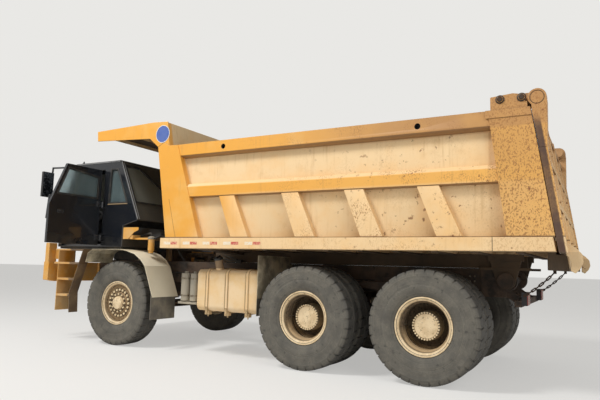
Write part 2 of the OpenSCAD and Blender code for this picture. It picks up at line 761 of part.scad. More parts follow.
// The same line moved down by t and turned round
function below(line, t) = let (last = len(line) - 1) [for (i = [last:-1:0])
    let (b = line[i], k = edge_normal(line[max(i - 1, 0)], line[max(i, 1)]),
        m = edge_normal(line[min(i, last - 1)], line[min(i + 1, last)]))
    i == 0 ? b - t * m : i == last ? b - t * k : meet(b - t * k, k, b - t * m, m)];
module fenders() {
    stand = [front_base - 100, front_base];
    color(grey) both_sides() {
        side(concat(fender_line, below(fender_line, guard_t)), fender_y0, fender_y1);
        // Stand from the rail to the fender's top
        block([stand[0], rail_y - 80, rail_top + seat], [stand[1], fender_y0 + 40, rail_top + 50]);
        block([stand[0], fender_y0 + 2, rail_top + 40], [stand[1], fender_y0 + 40, fender_top - guard_t + 2]);
    }
}

panel_slope = (fender_line[1][0] - fender_line[0][0]) / (fender_line[1][1] - fender_line[0][1]);
// Inner face of the fender's rear panel at a height
function panel_x(z) = fender_line[0][0] + (z - fender_line[0][1]) * panel_slope
    + guard_t * sqrt(1 + panel_slope * panel_slope);
module splash_guards() {
    flap_x = 2690;
    flap_top = 890;
    flap_bar = flap_top - 32;
    // Flap on a bar across the fender's rear panel
    color(dark) both_sides() {
        block([flap_x, fender_y0 + 10, 470], [flap_x + 10, fender_y1 - 20, flap_top]);
        side([[panel_x(flap_bar) + seat, flap_bar], [flap_x + 8, flap_bar], [flap_x + 8, flap_top],
            [panel_x(flap_top) + seat, flap_top]], fender_y0 + 10, fender_y1 - 20);
    }
    // Guard ahead of the middle wheels, notched round the tub's beam
    guard_x = tank_rear - 30;
    color(grey) both_sides() front([[rail_y + seat, 650], [1500, 650], [1500, 1500], [rail_y + 60, 1500],
        [rail_y + 60, rail_top - 10], [rail_y + seat, rail_top - 10]], guard_x, guard_x + guard_t);
}

tank_y0 = 760;
tank_y1 = 1440;
tank_round = 90;
module tank_body(x0, len, low, high, y0, y1) {
    // Flat-topped tank with rounded lower and upper outer edges
    translate([x0, 0, 0]) rotate([90, 0, 90]) linear_extrude(len) union() {
        translate([y0, low + tank_round]) square([y1 - y0, high - low - 2 * tank_round]);
        translate([y0, low]) square([y1 - y0 - tank_round, high - low]);
        for (z = [low + tank_round, high - tank_round]) translate([y1 - tank_round, z])
            circle(r = tank_round);
    }
}

strap_x = [0.17, 0.5, 0.83]; // share of the tank's length
module fuel_tank() {
    low = tank_top - tank_h;
    color(cream) {
        tank_body(tank_rear, tank_len, low, tank_top, tank_y0, tank_y1);
        for (s = strap_x)
            tank_body(tank_rear + s * tank_len - 30, 60, low - 8, tank_top + 8, tank_y0 - 8, tank_y1 + 8);
        bar([tank_rear + tank_len * 0.7, tank_y1 - 120, tank_top - 30], [tank_rear + tank_len * 0.7,
            tank_y1 - 60, tank_top + 150], 60);
    }
    color(dark) for (s = strap_x)
        block([tank_rear + s * tank_len - 40, rail_y + seat, low + 100],
            [tank_rear + s * tank_len + 40, tank_y0 + 2, low + 540]);
}

air_pitch = 180;
module air_tanks() {
    x0 = tank_rear + tank_len + 130;
    shelf = 775;
    color(grey) {
        for (x = [x0, x0 + air_pitch]) {
            rod_z(air_r, shelf + 15, shelf + 435, x, tank_y1 - 100);
            rod_z(30, shelf - 5, shelf + 465, x, tank_y1 - 100);
        }
        block([x0 - 90, rail_y + seat, shelf - 35], [x0 + air_pitch + 100, tank_y1 - 40, shelf]);
        block([x0 + 40, rail_y + seat, shelf - 35], [x0 + 120, rail_y + 30, shelf + 425]);
    }
}

module oil_tank() {
    low = 700;
    color(grey) mirror([0, 1, 0]) {
        tank_body(tank_rear + 20, 820, low, low + 560, tank_y0, tank_y1 - 40);
        block([1800, tank_y0, low + 40], [2350, tank_y1 - 60, low + 480]);
        for (x = [1000, 1400, 2050]) block([x - 40, rail_y + seat, low + 120], [x + 40, tank_y0 + 2,
            low + 520]);
    }
}

module exhaust() {
    x = hood_back - 300;
    y = -880;
    z = 1520;
    color(grey) {
        rod_z(120, z - 50, 2300, x, y);
        rod_z(60, 2290, 2620, x, y);
        rod_y(42, y, -300, x, z);
        rod_x(45, x - 30, engine_box[0][0] - seat, -300, z);
        // Stand on the right rail
        block([x - 60, y, z - 50], [x + 20, -rail_y + 90, z]);
        block([x - 60, -rail_y, rail_top + seat], [x + 20, -rail_y + 90, z - 40]);
    }
}

module mirror_tube(points, r) {
    for (i = [0:len(points) - 2]) bar(points[i], points[i + 1], r);
    for (i = [1:len(points) - 2]) translate(points[i]) sphere(r = r + 2);
}

module mirrors() {
    color(black) {
        mirror_tube([[4830, cab_left + 18, 3040], [5240, 1600, 3030], [mirror_foot, 1600, 2130],
            [5100, cab_left + 18, 2130]], mirror_r);
        for (p = [[4830, 3040], [5100, 2130]])
            block([p[0] - 30, cab_left + seat, p[1] - 30], [p[0] + 30, cab_left + 26, p[1] + 30]);
        block([5180, 1612, 2480], [5230, 1830, 2930]);
        rod_x(10, 5200, 5262, 1620, 2870);
        rod_x(10, 5200, 5290, 1620, 2600);
        // Right-hand mirror on the deck's front post
        y = rail_posts[2][1];
        rod_z(16, deck_z + 1019 + seat, deck_z + 1500, rail_posts[2][0], y);
        bar([rail_posts[2][0], y, deck_z + 1380], [rail_posts[2][0] + 20, y - 160, deck_z + 1380], 12);
        block([rail_posts[2][0] - 5, -mirror_reach, deck_z + 1080], [rail_posts[2][0] + 45, y - 150,
            deck_z + 1500]);
    }
}

module lamps() {
    color("white") both_sides() rod_x(70, bumper_front - 90, bumper_front - 30, 1320, 1190);
    color("white") both_sides() rod_x(70, bumper_front - 90, bumper_front - 30, 1160, 1190);
    color("darkred") both_sides() block([pivot_x - 300, 700, tail_bar_low + 20],
        [pivot_x - tail_bar_back - seat, 955, tail_bar_low + 180]);
}

// Steering

module knuckle() {
    x = front_base;
    color(dark) {
        difference() {
            union() {
                // Fork round the axle's eye
                for (s = [-1, 1]) {
                    block([x - 60, kingpin_y, axle_z + s * (98) - 32], [x + 60, kingpin_y + 90,
                        axle_z + s * 98 + 32]);
                    rod_z(60, axle_z + s * 98 - 32, axle_z + s * 98 + 32, x, kingpin_y);
                }
                block([x - 80, kingpin_y + eye_r + clear, axle_z - 130], [x + 80, kingpin_y + 110,
                    axle_z + 130]);
            }
            rod_z(kingpin_r + run_gap, axle_z - 200, axle_z + 200, x, kingpin_y);
        }
        rod_y(90, kingpin_y + 100, front_tyre_y + hub_low - 6, x, axle_z);
        rod_y(spindle_r, kingpin_y + 100, front_tyre_y + 40, x, axle_z);
        // Steering arm behind the axle
        side([[x - 20, axle_z - 118], [x - arm_len - 30, axle_z - 118], [x - arm_len - 30, axle_z - 88],
            [x - 20, axle_z - 78]], kingpin_y - 58, kingpin_y - 34);
    }
}

module tie_rod() {
    x = front_base - arm_len;
    y = kingpin_y - 46;
    color(dark) {
        rod_y(22, -y, y, x, axle_z - 46);
        both_sides() rod_z(20, axle_z - 86 + run_gap, axle_z - 44, x, y);
    }
}

// Tub

tail_x = -post_back;
journal_r = 40;
cheek_y = tub_half - 150;
function tail_at(z) = tail_x - (wall_top - z) * tail_slope;
inner_y = tub_half - wall_set;
floor_top = sill_top - 20;
head_foot = 1897; // rear face of the headboard's foot
// Front edge of the headboard's post upwards, as x, z
head_front = [[2341, sill_top], [2444, 2328], [2591, 3178], [2772, 3325]];
module tub_floor() {
    tail_low = tail_at(sill_low) + 20;
    tail_beam_back = -3205;
    tail_beam_low = 1388;
    color(cream) {
        // Floor sheet and the two sills
        block([tail_at(sill_top) + 30, -inner_y, floor_top - sheet], [head_foot - seat, inner_y, floor_top]);
        both_sides() side([[tail_low, sill_low], [sill_front, sill_low], [sill_front, sill_top],
            [tail_at(sill_top) + 20, sill_top]],
            inner_y - 70, tub_half + sill_proud);
    }
    color(dark) {
        // Cross bearers, tail beam and long beams
        for (i = [0:9]) block([-2750 + i * 480, -inner_y + 60, sill_low - 20], [-2670 + i * 480,
            inner_y - 60, floor_top - 5]);
        side([[tail_beam_back, tail_beam_low], [-2990, tail_beam_low], [-2990, floor_top - 5], [-3080,
            floor_top - 5],
            [-3080, gate_low - clear - 2], [tail_beam_back, gate_low - clear - 2]], -1500, 1500);
        both_sides() block([pivot_x - 150, rail_y - rail_flange, beam_low], [2280, rail_y, sill_low]);
        front([[-rail_y, sill_low - 60], [rail_y, sill_low - 60], [inner_y - 70, sill_low], [inner_y - 70,
            floor_top - sheet],
            [-inner_y + 70, floor_top - sheet], [-inner_y + 70, sill_low]], 1700, 1940);
        // Ears on the pivot shaft
        both_sides() difference() {
            side([[pivot_x - 110, pivot_z - 40], [pivot_x - 60, pivot_z - 105], [pivot_x + 60, pivot_z - 105],
                [pivot_x + 110, pivot_z - 40], [pivot_x + 220, sill_low], [pivot_x - 220, sill_low]],
                rail_y + ear_in, rail_y + ear_out);
            rod_y(pivot_r + run_gap, 0, rail_y + 300, pivot_x, pivot_z);
        }
        // Stiffener along each ear, and the beam feet that join the ears
        both_sides() block([pivot_x - 310, rail_y + ear_out - 12, 1377], [pivot_x + 326,
            rail_y + ear_out + 4, 1412]);
        both_sides() block([pivot_x - 220, rail_y - 10, sill_low - 90], [pivot_x + 220, rail_y + 80,
            sill_low]);
    }
}

// Slanted rib of the lower side panel: foot further back than its head
rib_heads = [1363, 311, -630, -1589]; // front edge of each rib at its head
module tub_rib(x) {
    head_z = mid_rail_top - mid_rail_h;
    lean = (head_z - sill_top) * 0.39;
    w = 265;
    difference() {
        side([[x, head_z], [x - w, head_z], [x - w - lean - 30, sill_top + seat], [x - lean,
            sill_top + seat]],
            inner_y - 2, tub_half - 22);
        // Chamfer towards the tail
        translate([x - w, inner_y - 3, head_z]) rotate([0, 33, 0]) block([-70, -1, -400], [0, 200, 60]);
    }
}

bracket_pins = [-2560, -2790]; // place of each pin along the truck
module tub_side() {
    y0 = inner_y - sheet;
    base = sill_top + seat;
    color(yellow) {
        // Side sheet
        side([[tail_at(sill_top) + 60, base], [1850, base], [2300, wall_top - 2], [tail_x + 60,
            wall_top - 2]],
            y0, inner_y);
        // Top and middle rails, box sections with a sloped underside or top
        difference() {
            front([[inner_y - 1, wall_top], [tub_half - 12, wall_top], [tub_half - 12,
                wall_top - top_rail_h + 25],
                [tub_half - 40, wall_top - top_rail_h], [inner_y - 1, wall_top - top_rail_h - 10]],
                    tail_x + 300, 2230);
            for (x = [1320, -1600]) rod_y(38, inner_y + 30, tub_half + 10, x, wall_top - 95);
        }
        front([[inner_y - 1, mid_rail_top + 10], [tub_half - 60, mid_rail_top], [tub_half - 12,
            mid_rail_top - 50],
            [tub_half - 12, mid_rail_top - mid_rail_h + 10], [tub_half - 30, mid_rail_top - mid_rail_h],
            [inner_y - 1, mid_rail_top - mid_rail_h]], tail_at(mid_rail_top) + 380, 2060);
        for (x = rib_heads) tub_rib(x);
        // Tail post
        side([[tail_at(base), base], [tail_at(base) + post_w + 16, base], [tail_x + post_w - 16, wall_top],
            [tail_x, wall_top]], y0, tub_half);
        // Headboard post
        side([[1699, base], [head_front[0][0], base], head_front[1], head_front[2], [2470, wall_top + 60],
            [2350, wall_top], [2186, wall_top]], y0, tub_half);
        // Cap plate proud of the post's head
        side([[tail_at(wall_top - 95), wall_top - 95], [tail_x + post_w + 10, wall_top - 95],
            [tail_x + post_w + 10, wall_top], [tail_x, wall_top]], tub_half - 4, tub_half + 10);
        // Two pins through the bracket
        for (x = bracket_pins) rod_y(35, cheek_y + 20, tub_half + 8, x, wall_top + 117);
        // Tailgate bracket: a block on the post's top and a cheek round the gate's journal
        difference() {
            union() {
                block([tail_x + 30, inner_y - 30, wall_top - 2], [tail_x + 425, tub_half - 8, wall_top + 70]);
                side([[tail_x + 425, wall_top - 2], [tail_x + 425, wall_top + 155], [tail_x + 180,
                    wall_top + 190],
                    [-gate_axis_back + 10, gate_axis_z + 88], [-gate_axis_back + 10, gate_axis_z - 60],
                    [tail_x + 30, wall_top - 2]], cheek_y, cheek_y + 40);
                side([[tail_x + 425, wall_top - 2], [tail_x + 425, wall_top + 155], [tail_x + 180,
                    wall_top + 175],
                    [tail_x + 60, wall_top + 150], [tail_x + 40, wall_top - 2]], cheek_y, tub_half - 8);
                rod_y(88, cheek_y, cheek_y + 40, -gate_axis_back, gate_axis_z);
            }
            rod_y(journal_r + run_gap, cheek_y - 1, cheek_y + 41, -gate_axis_back, gate_axis_z);
        }
    }
}

module tub_sides() {
    both_sides() tub_side();
}

module headboard() {
    y = inner_y - sheet - seat;
    base = sill_top + seat;
    color(yellow) {
        // Slanted front sheet and the canopy above the cab
        side([[1904, base], [1929, base], [2470, 3250], [2450, 3290], [2430, 3250]], -y, y);
        block([head_foot, -inner_y + 70 + seat, floor_top - sheet + seat], [1930, inner_y - 70 - seat,
            base + 12]);
        // Cheeks round the hoist's upper eye, on a pad
        both_sides() side([[2225, hoist_eye[1] - 50], [hoist_eye[0] + 60, hoist_eye[1] - 50],
            [hoist_eye[0] + 60, hoist_eye[1] + 60], [2275, 2760]], eye_half + clear, eye_half + clear + 25);
        side([[2352, wall_top + 3], [2430, 3570], [2685, canopy_top], [canopy_front, canopy_top - 33],
            [canopy_front, canopy_top - 53], [2690, canopy_top - 22], [2450, 3545]], -tub_half + 2,
                tub_half - 2);
        // Side flanges of the canopy and its front lip
        both_sides() side([[2352, wall_top + seat + 1], [2470, wall_top + 60 + seat], head_front[2] + [0,
            seat],
            head_front[3],
            [canopy_front - 17, canopy_top - 33 - canopy_flange], [canopy_front, canopy_top - 33],
            [2685, canopy_top], [2411, canopy_top - 16]], tub_half - 14, tub_half);
        both_sides() for (x = [2950, 3400]) block([x - 8, 0, canopy_top - 130], [x + 8, tub_half - 10,
            canopy_top - 45]);
        block([canopy_front - 40, -tub_half + 5, canopy_top - 110], [canopy_front - 25, tub_half - 5,
            canopy_top - 45]);
    }
}

chain_y = 1000;
chain_top = [-3020, 1362];
chain_foot = [-2690, 1082];
links = 8;
wire_r = 7;
module chain_link(len) {
    // Flat oval link about its own middle, long axis along X
    w = 34;
    difference() {
        union() {
            cube([len - w, w, wire_r * 2], center = true);
            for (s = [-1, 1]) translate([s * (len - w) / 2, 0, -wire_r]) cylinder(r = w / 2, h = wire_r * 2);
        }
        cube([len - w, w - wire_r * 4, wire_r * 3], center = true);
        for (s = [-1, 1]) translate([s * (len - w) / 2, 0, -wire_r * 2]) cylinder(r = w / 2 - wire_r * 2,
            h = wire_r * 4);
    }
}

module tail_chains() {
    d = chain_foot - chain_top;
    fall = atan2(-d[1], d[0]);
    pitch = norm(d) / links;
    color(dark) both_sides() {
        for (i = [0:links - 1]) {
            t = (i + 0.5) / links;
            sag = -70 * t * (1 - t);
            translate([chain_top[0] + t * d[0], chain_y, chain_top[1] + t * d[1] + sag])
                rotate([0, fall - 9 * (2 * t - 1), 0]) rotate([i % 2 * 90, 0, 0])
                    chain_link(pitch + 3.4 * wire_r);
        }
        // Ear below the tail beam
        block([chain_top[0] - 24, chain_y - 6, chain_top[1] - 12], [chain_top[0] + 12, chain_y + 6,
            1388 - seat]);
    }
}

// Hoist: foot and eye as [x, z]; each stage slides out of the one before
hoist_foot = [2600, 1080];
hoist_eye = [2340, 2620];
hoist_pin_r = 40;
eye_half = 58;
hoist_angle = atan2(hoist_eye[1] - hoist_foot[1], hoist_foot[0] - hoist_eye[0]);
hoist_len = norm(hoist_eye - hoist_foot);
stage_wall = 12;
function stage_r(i) = barrel_r - i * (stage_wall + run_gap);
// Draws its children along a line that runs from the foot to the eye
module hoist_frame() {
    translate([hoist_foot[0], 0, hoist_foot[1]]) rotate([0, hoist_angle, 0]) mirror([1, 0, 0]) children();
}

module hoist_barrel() {
    color(yellow) hoist_frame() difference() {
        union() {
            rod_x(barrel_r, 60, hoist_len - 140, 0, 0);
            rod_x(barrel_r + 9, hoist_len - 190, hoist_len - 135, 0, 0);
            rod_y(68, -50, 50, 0, 0);
        }
        rod_y(hoist_pin_r + run_gap, -60, 60, 0, 0);
        rod_x(stage_r(0) - stage_wall, 90, hoist_len, 0, 0);
    }
}

// Middle stage i, open at both ends
module hoist_stage(i) {
    color("silver") hoist_frame() difference() {
        rod_x(stage_r(i), 90 + i * 8, hoist_len - 135 + i * 12, 0, 0);
        rod_x(stage_r(i) - stage_wall, 89 + i * 8, hoist_len, 0, 0);
    }
}

module hoist_rod() {
    color("silver") hoist_frame() {
        rod_x(stage_r(3), 130, hoist_len - 40, 0, 0);
        rod_y(56, -eye_half, eye_half, hoist_len, 0);
    }
}

// Tailgate

gate_half = tub_half - 6;
rib_depth = 30;
gate_rib_w = 90;
gate_bars = [gate_low + 10, 2060, 2540, gate_top - 120]; // underside of each cross bar
module tailgate() {
    x = -gate_axis_back;
    function face(z) = tail_at(z) - gate_gap;
    // Slanted plate from z0 up to z1, between two depths behind the gate's front face
    module plate(z0, z1, near, far, y0, y1) {
        side([[face(z0) - near, z0], [face(z1) - near, z1], [face(z1) - far, z1], [face(z0) - far, z0]],
            y0, y1);
    }
    arm_top = gate_top - 10;
    arm_foot = 2720;
    color(yellow) {
        // On each side a disc, its journal through the cheek and a collar inside the cheek
        both_sides() {
            rod_y(gate_disc_r, cheek_y + 40 + clear, tub_half - 2, x, gate_axis_z);
            rod_y(journal_r, cheek_y - clear - 42, tub_half - 20, x, gate_axis_z);
            rod_y(journal_r + 28, cheek_y - clear - 42, cheek_y - clear, x, gate_axis_z);
            // Arm that tapers from the disc down to the gate
            side([[x + 60, gate_axis_z - 70], [face(arm_top), arm_top], [face(arm_foot) - 10, arm_foot],
                [face(arm_foot) - gate_t, arm_foot], [x - gate_disc_r - 4, gate_axis_z - 60],
                [x - gate_disc_r + 2, gate_axis_z], [x, gate_axis_z]], cheek_y + 40 + clear, tub_half - 2);
        }
        // Panel with ribs and cross bars on its outer face
        plate(gate_low, gate_top, 0, gate_t - rib_depth, -gate_half, gate_half);
        for (i = [-2:2]) plate(gate_low, gate_top - 20, 20, gate_t, i * (gate_half - gate_rib_w / 2)
            / 2 - gate_rib_w / 2,
            i * (gate_half - gate_rib_w / 2) / 2 + gate_rib_w / 2);
        for (z = gate_bars) plate(z, z + 80, 20, gate_t - 6, -gate_half + 2, gate_half - 2);
        // Claws at the gate's foot
        both_sides() side([[face(gate_low) - 20, gate_low + 20], [face(gate_low) - 20, gate_low - 4],
            [-3200, 1540], [-3225, 1480], [-3222, 1386], [-3266, 1361], [-3319, 1420], [-hook_back, 1483],
            [-3334, 1566], [-3284, 1622], [-3200, 1680]], tub_half - 160, tub_half - 120);
    }
}

place() frame();
place() front_bumper();
place() front_axle();
place() springs();
place() drive_axles();
place() prop_shafts();
place() engine();
place() grille();
place() hood();
place() deck();
place() cab_shell();
place() cab_mounts();
place() cab_glass();
place() dashboard();
place() driver_seat();
place() ladder();
place() fenders();
place() splash_guards();
place() fuel_tank();
place() air_tanks();
place() oil_tank();
place() exhaust();
place() mirrors();
place() lamps();
place() knuckle();  // knuckle_left
place() on_right() knuckle();  // knuckle_right
place() tie_rod();
place() color(rubber) tyre(front_base, front_tyre_y);  // front_tyre_left
place() on_right() color(rubber) tyre(front_base,  // front_tyre_right
    front_tyre_y);
place() color(cream) front_rim(front_base, front_tyre_y);  // front_rim_left
place() on_right() color(cream) front_rim(front_base,  // front_rim_right
    front_tyre_y);
place() color(rubber) twin_tyres(0);  // mid_tyres_left
place() on_right() color(rubber) twin_tyres(0);  // mid_tyres_right
place() color(cream) twin_rims(0);  // mid_rims_left
place() on_right() color(cream) twin_rims(0);  // mid_rims_right
place() color(rubber) twin_tyres(-rear_base);  // rear_tyres_left
place() on_right() color(rubber) twin_tyres(-rear_base);  // rear_tyres_right
place() color(cream) twin_rims(-rear_base);  // rear_rims_left
place() on_right() color(cream) twin_rims(-rear_base);  // rear_rims_right
place() tub_floor();
place() tub_sides();
place() headboard();
place() tail_chains();
place() tailgate();
place() door();
place() door_glass();
place() hoist_barrel();
place() hoist_stage(1);  // hoist_stage_one
place() hoist_stage(2);  // hoist_stage_two
place() hoist_rod();
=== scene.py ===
"""Six-wheel mining dump truck: paint, rubber, glass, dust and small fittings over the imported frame.

The truck's own lengths are millimetres about the middle axle's foot: X forward, Y left, Z up.
own() takes them to metres in the common frame.
"""
import json
import math
import bmesh
import bpy
import numpy as np
from mathutils import Matrix, Vector


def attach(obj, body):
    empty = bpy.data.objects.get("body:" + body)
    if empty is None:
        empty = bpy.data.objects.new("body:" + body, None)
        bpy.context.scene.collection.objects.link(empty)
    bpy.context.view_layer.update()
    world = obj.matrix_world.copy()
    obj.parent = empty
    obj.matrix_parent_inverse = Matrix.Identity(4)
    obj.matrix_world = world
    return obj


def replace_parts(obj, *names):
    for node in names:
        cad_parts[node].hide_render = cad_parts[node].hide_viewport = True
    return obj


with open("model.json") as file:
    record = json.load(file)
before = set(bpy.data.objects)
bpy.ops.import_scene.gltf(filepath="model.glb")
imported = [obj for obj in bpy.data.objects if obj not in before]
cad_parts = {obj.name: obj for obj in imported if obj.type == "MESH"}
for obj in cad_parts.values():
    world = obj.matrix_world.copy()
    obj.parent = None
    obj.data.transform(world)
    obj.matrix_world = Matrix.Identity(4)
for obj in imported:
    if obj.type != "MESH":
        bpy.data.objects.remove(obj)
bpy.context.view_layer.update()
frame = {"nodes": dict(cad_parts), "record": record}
bodies = frame["record"]["behaviour"]["bodies"]
body_of_node = {node: body for body, nodes in bodies.items() for node in nodes}

# The common frame's origin in the truck's own frame, then driving places that the fittings repeat
CENTRE = np.array([1001.5, 295.0, 0.0])
AXLE_Z = 685.0
FRONT_X = 3550.0
REAR_X = -1625.0
FRONT_Y = 1327.0
OUTER_Y = 1425.0
INNER_Y = 1000.0
TUB_HALF = 1720.0
SILL_Y = 1734.0
CAB_LEFT = 1450.0
CAB_RIGHT = 150.0
CAB_FRONT = 5150.0
BUMPER_FRONT = 5250.0
# Open door: its hinge across the truck, and the places of its outer and inner faces
HINGE_Y = 1480.0
DOOR_OUTER_X = 4065.0
DOOR_INNER_X = 4110.0
# Foot of the cab's slanted rear face and of its windscreen, forward and up
BACK_FOOT = (3211.0, 2053.0)
SCREEN_FOOT = (CAB_FRONT, 2240.0)
# Camera: yaw, pitch and roll in degrees, lens in mm for a 36 mm sensor, place in metres
CAMERA_TURN = (28.965, 6.867, 1.481)
CAMERA_LENS = 32.95
SENSOR = 36.0
CAMERA_PLACE = (-4.5315, 7.797, 1.364)


def own(points):
    """The truck's own millimetres as metres in the common frame."""
    return (np.asarray(points, dtype=float) - CENTRE) / 1000.0


def own_x(x):
    """A place along the truck in metres of the common frame."""
    return (x - CENTRE[0]) / 1000.0


def own_y(y):
    """A place across the truck in metres of the common frame."""
    return (y - CENTRE[1]) / 1000.0


# Camera of the photograph

def camera():
    """Camera at the photograph's place: yaw and pitch turn its line of sight, and roll its other two axes."""
    yaw, pitch, roll = (math.radians(angle) for angle in CAMERA_TURN)
    flat = math.cos(pitch)
    look = Vector((math.sin(yaw) * flat, -math.cos(yaw) * flat, math.sin(pitch)))
    flat_right = look.cross(Vector((0, 0, 1))).normalized()
    flat_up = flat_right.cross(look)
    right = math.cos(roll) * flat_right + math.sin(roll) * flat_up
    up = -math.sin(roll) * flat_right + math.cos(roll) * flat_up
    data = bpy.data.cameras.new("camera")
    data.sensor_width = SENSOR
    data.lens = CAMERA_LENS
    data.clip_end = 500.0
    obj = bpy.data.objects.new("camera", data)
    bpy.context.collection.objects.link(obj)
    turn = Matrix((right, up, -look)).transposed().to_4x4()
    turn.translation = Vector(CAMERA_PLACE)
    obj.matrix_world = turn
    bpy.context.scene.camera = obj


camera()


# Materials

def linear(code):
    """sRGB hex as linear colour."""
    parts = [int(code[i:i + 2], 16) / 255.0 for i in (1, 3, 5)]
    return tuple(c / 12.92 if c <= 0.04045 else ((c + 0.055) / 1.055) ** 2.4 for c in parts) + (1.0,)


def put(tree, kind, sockets=None, out=0, **settings):
    """Adds one node with its settings and its inputs' values or links, and gives one of its outputs."""
    node = tree.nodes.new(kind)
    for key, value in settings.items():
        setattr(node, key, value)
    for key, value in (sockets or {}).items():
        if isinstance(value, bpy.types.NodeSocket):
            tree.links.new(value, node.inputs[key])
        else:
            node.inputs[key].default_value = value
    return node.outputs[out]


def start(name):
    """A new material with its shader, and the object's own coordinates in metres."""
    material = bpy.data.materials.new(name)
    material.use_nodes = True
    tree = material.node_tree
    shader = tree.nodes["Principled BSDF"]
    place = put(tree, "ShaderNodeTexCoord", out=3)
    return material, tree, shader, place


def ramp(tree, value, low, high, kind="LINEAR"):
    """0 to 1 while a value runs from low to high."""
    return put(tree, "ShaderNodeMapRange", {"Value": value, "From Min": low, "From Max": high},
               interpolation_type=kind)


def squeeze(tree, mask, low, high=1.0):
    """Mask squeezed into the span from low to high."""
    return put(tree, "ShaderNodeMapRange", {"Value": mask, "To Min": low, "To Max": high})


def plus(tree, one, other):
    """Sum of two values."""
    return put(tree, "ShaderNodeMath", {0: one, 1: other}, operation="ADD")


def blotch(tree, place, size_mm, low, high, detail=4.0, stretch=(1.0, 1.0, 1.0), seed=0.0):
    """Cloudy mask: noise whose lumps are size_mm wide, raised to 1 between two of its levels."""
    moved = put(tree, "ShaderNodeMapping", {"Vector": place, "Location": (seed, seed * 0.7, seed * 1.3),
                                             "Scale": stretch})
    noise = put(tree, "ShaderNodeTexNoise", {"Vector": moved, "Scale": 1000.0 / size_mm, "Detail": detail,
                                              "Roughness": 0.6})
    return ramp(tree, noise, low, high, "SMOOTHSTEP")


def along(tree, place, axis, at_zero, at_one):
    """Mask that runs from 0 to 1 between two places on an axis, in metres."""
    way = put(tree, "ShaderNodeSeparateXYZ", {0: place}, out="XYZ".index(axis))
    return ramp(tree, way, at_zero, at_one, "SMOOTHSTEP")


def times(tree, *masks):
    """Product of masks and numbers."""
    total = masks[0]
    for mask in masks[1:]:
        total = put(tree, "ShaderNodeMath", {0: total, 1: mask}, operation="MULTIPLY", use_clamp=True)
    return total


def either(tree, *masks):
    """The greater of several masks at each point."""
    total = masks[0]
    for mask in masks[1:]:
        total = put(tree, "ShaderNodeMath", {0: total, 1: mask}, operation="MAXIMUM", use_clamp=True)
    return total


def without(tree, mask):
    """1 less a mask."""
    return put(tree, "ShaderNodeMath", {0: 1.0, 1: mask}, operation="SUBTRACT", use_clamp=True)


def facing(tree, axis, low, high):
    """Mask of the faces whose normal, in the truck's own frame, has more than a share along an axis."""
    normal = put(tree, "ShaderNodeTexCoord", out=1)
    share = put(tree, "ShaderNodeSeparateXYZ", {0: normal}, out="XYZ".index(axis))
    return ramp(tree, share, low, high, "SMOOTHSTEP")


def band(tree, value, low, high, blur=0.003):
    """Mask of a span of values with soft ends."""
    return times(tree, ramp(tree, value, low - blur, low + blur), ramp(tree, value, high + blur, high - blur))


def radius_from(tree, place, axle_x):
    """Distance of a point from a wheel's axle."""
    away = put(tree, "ShaderNodeVectorMath", {0: place, 1: (own_x(axle_x), 0.0, AXLE_Z / 1000.0)},
               operation="SUBTRACT")
    away = put(tree, "ShaderNodeVectorMath", {0: away, 1: (1.0, 0.0, 1.0)}, operation="MULTIPLY")
    return put(tree, "ShaderNodeVectorMath", {0: away}, out=1, operation="LENGTH")


def lay(tree, colour, layers):
    """Lays colours over a first one: each layer is a colour and the mask where it shows."""
    below = colour if isinstance(colour, bpy.types.NodeSocket) else linear(colour)
    for code, mask in layers:
        below = put(tree, "ShaderNodeMixRGB", {"Fac": mask, "Color1": below, "Color2": linear(code)})
    return below


def close(tree, shader, colour, rough_clean, rough_dusty, dust, lumps, lump_mm):
    """Ends a material: colour, roughness between clean and dusty, and a bump from its lumps."""
    tree.links.new(colour, shader.inputs["Base Color"])
    rough = squeeze(tree, dust, rough_clean, rough_dusty)
    tree.links.new(rough, shader.inputs["Roughness"])
    bump = put(tree, "ShaderNodeBump", {"Height": lumps, "Strength": 0.6, "Distance": lump_mm / 1000.0})
    tree.links.new(bump, shader.inputs["Normal"])


TAIL_SLOPE = 0.147  # run of the tub's tail for each unit of rise


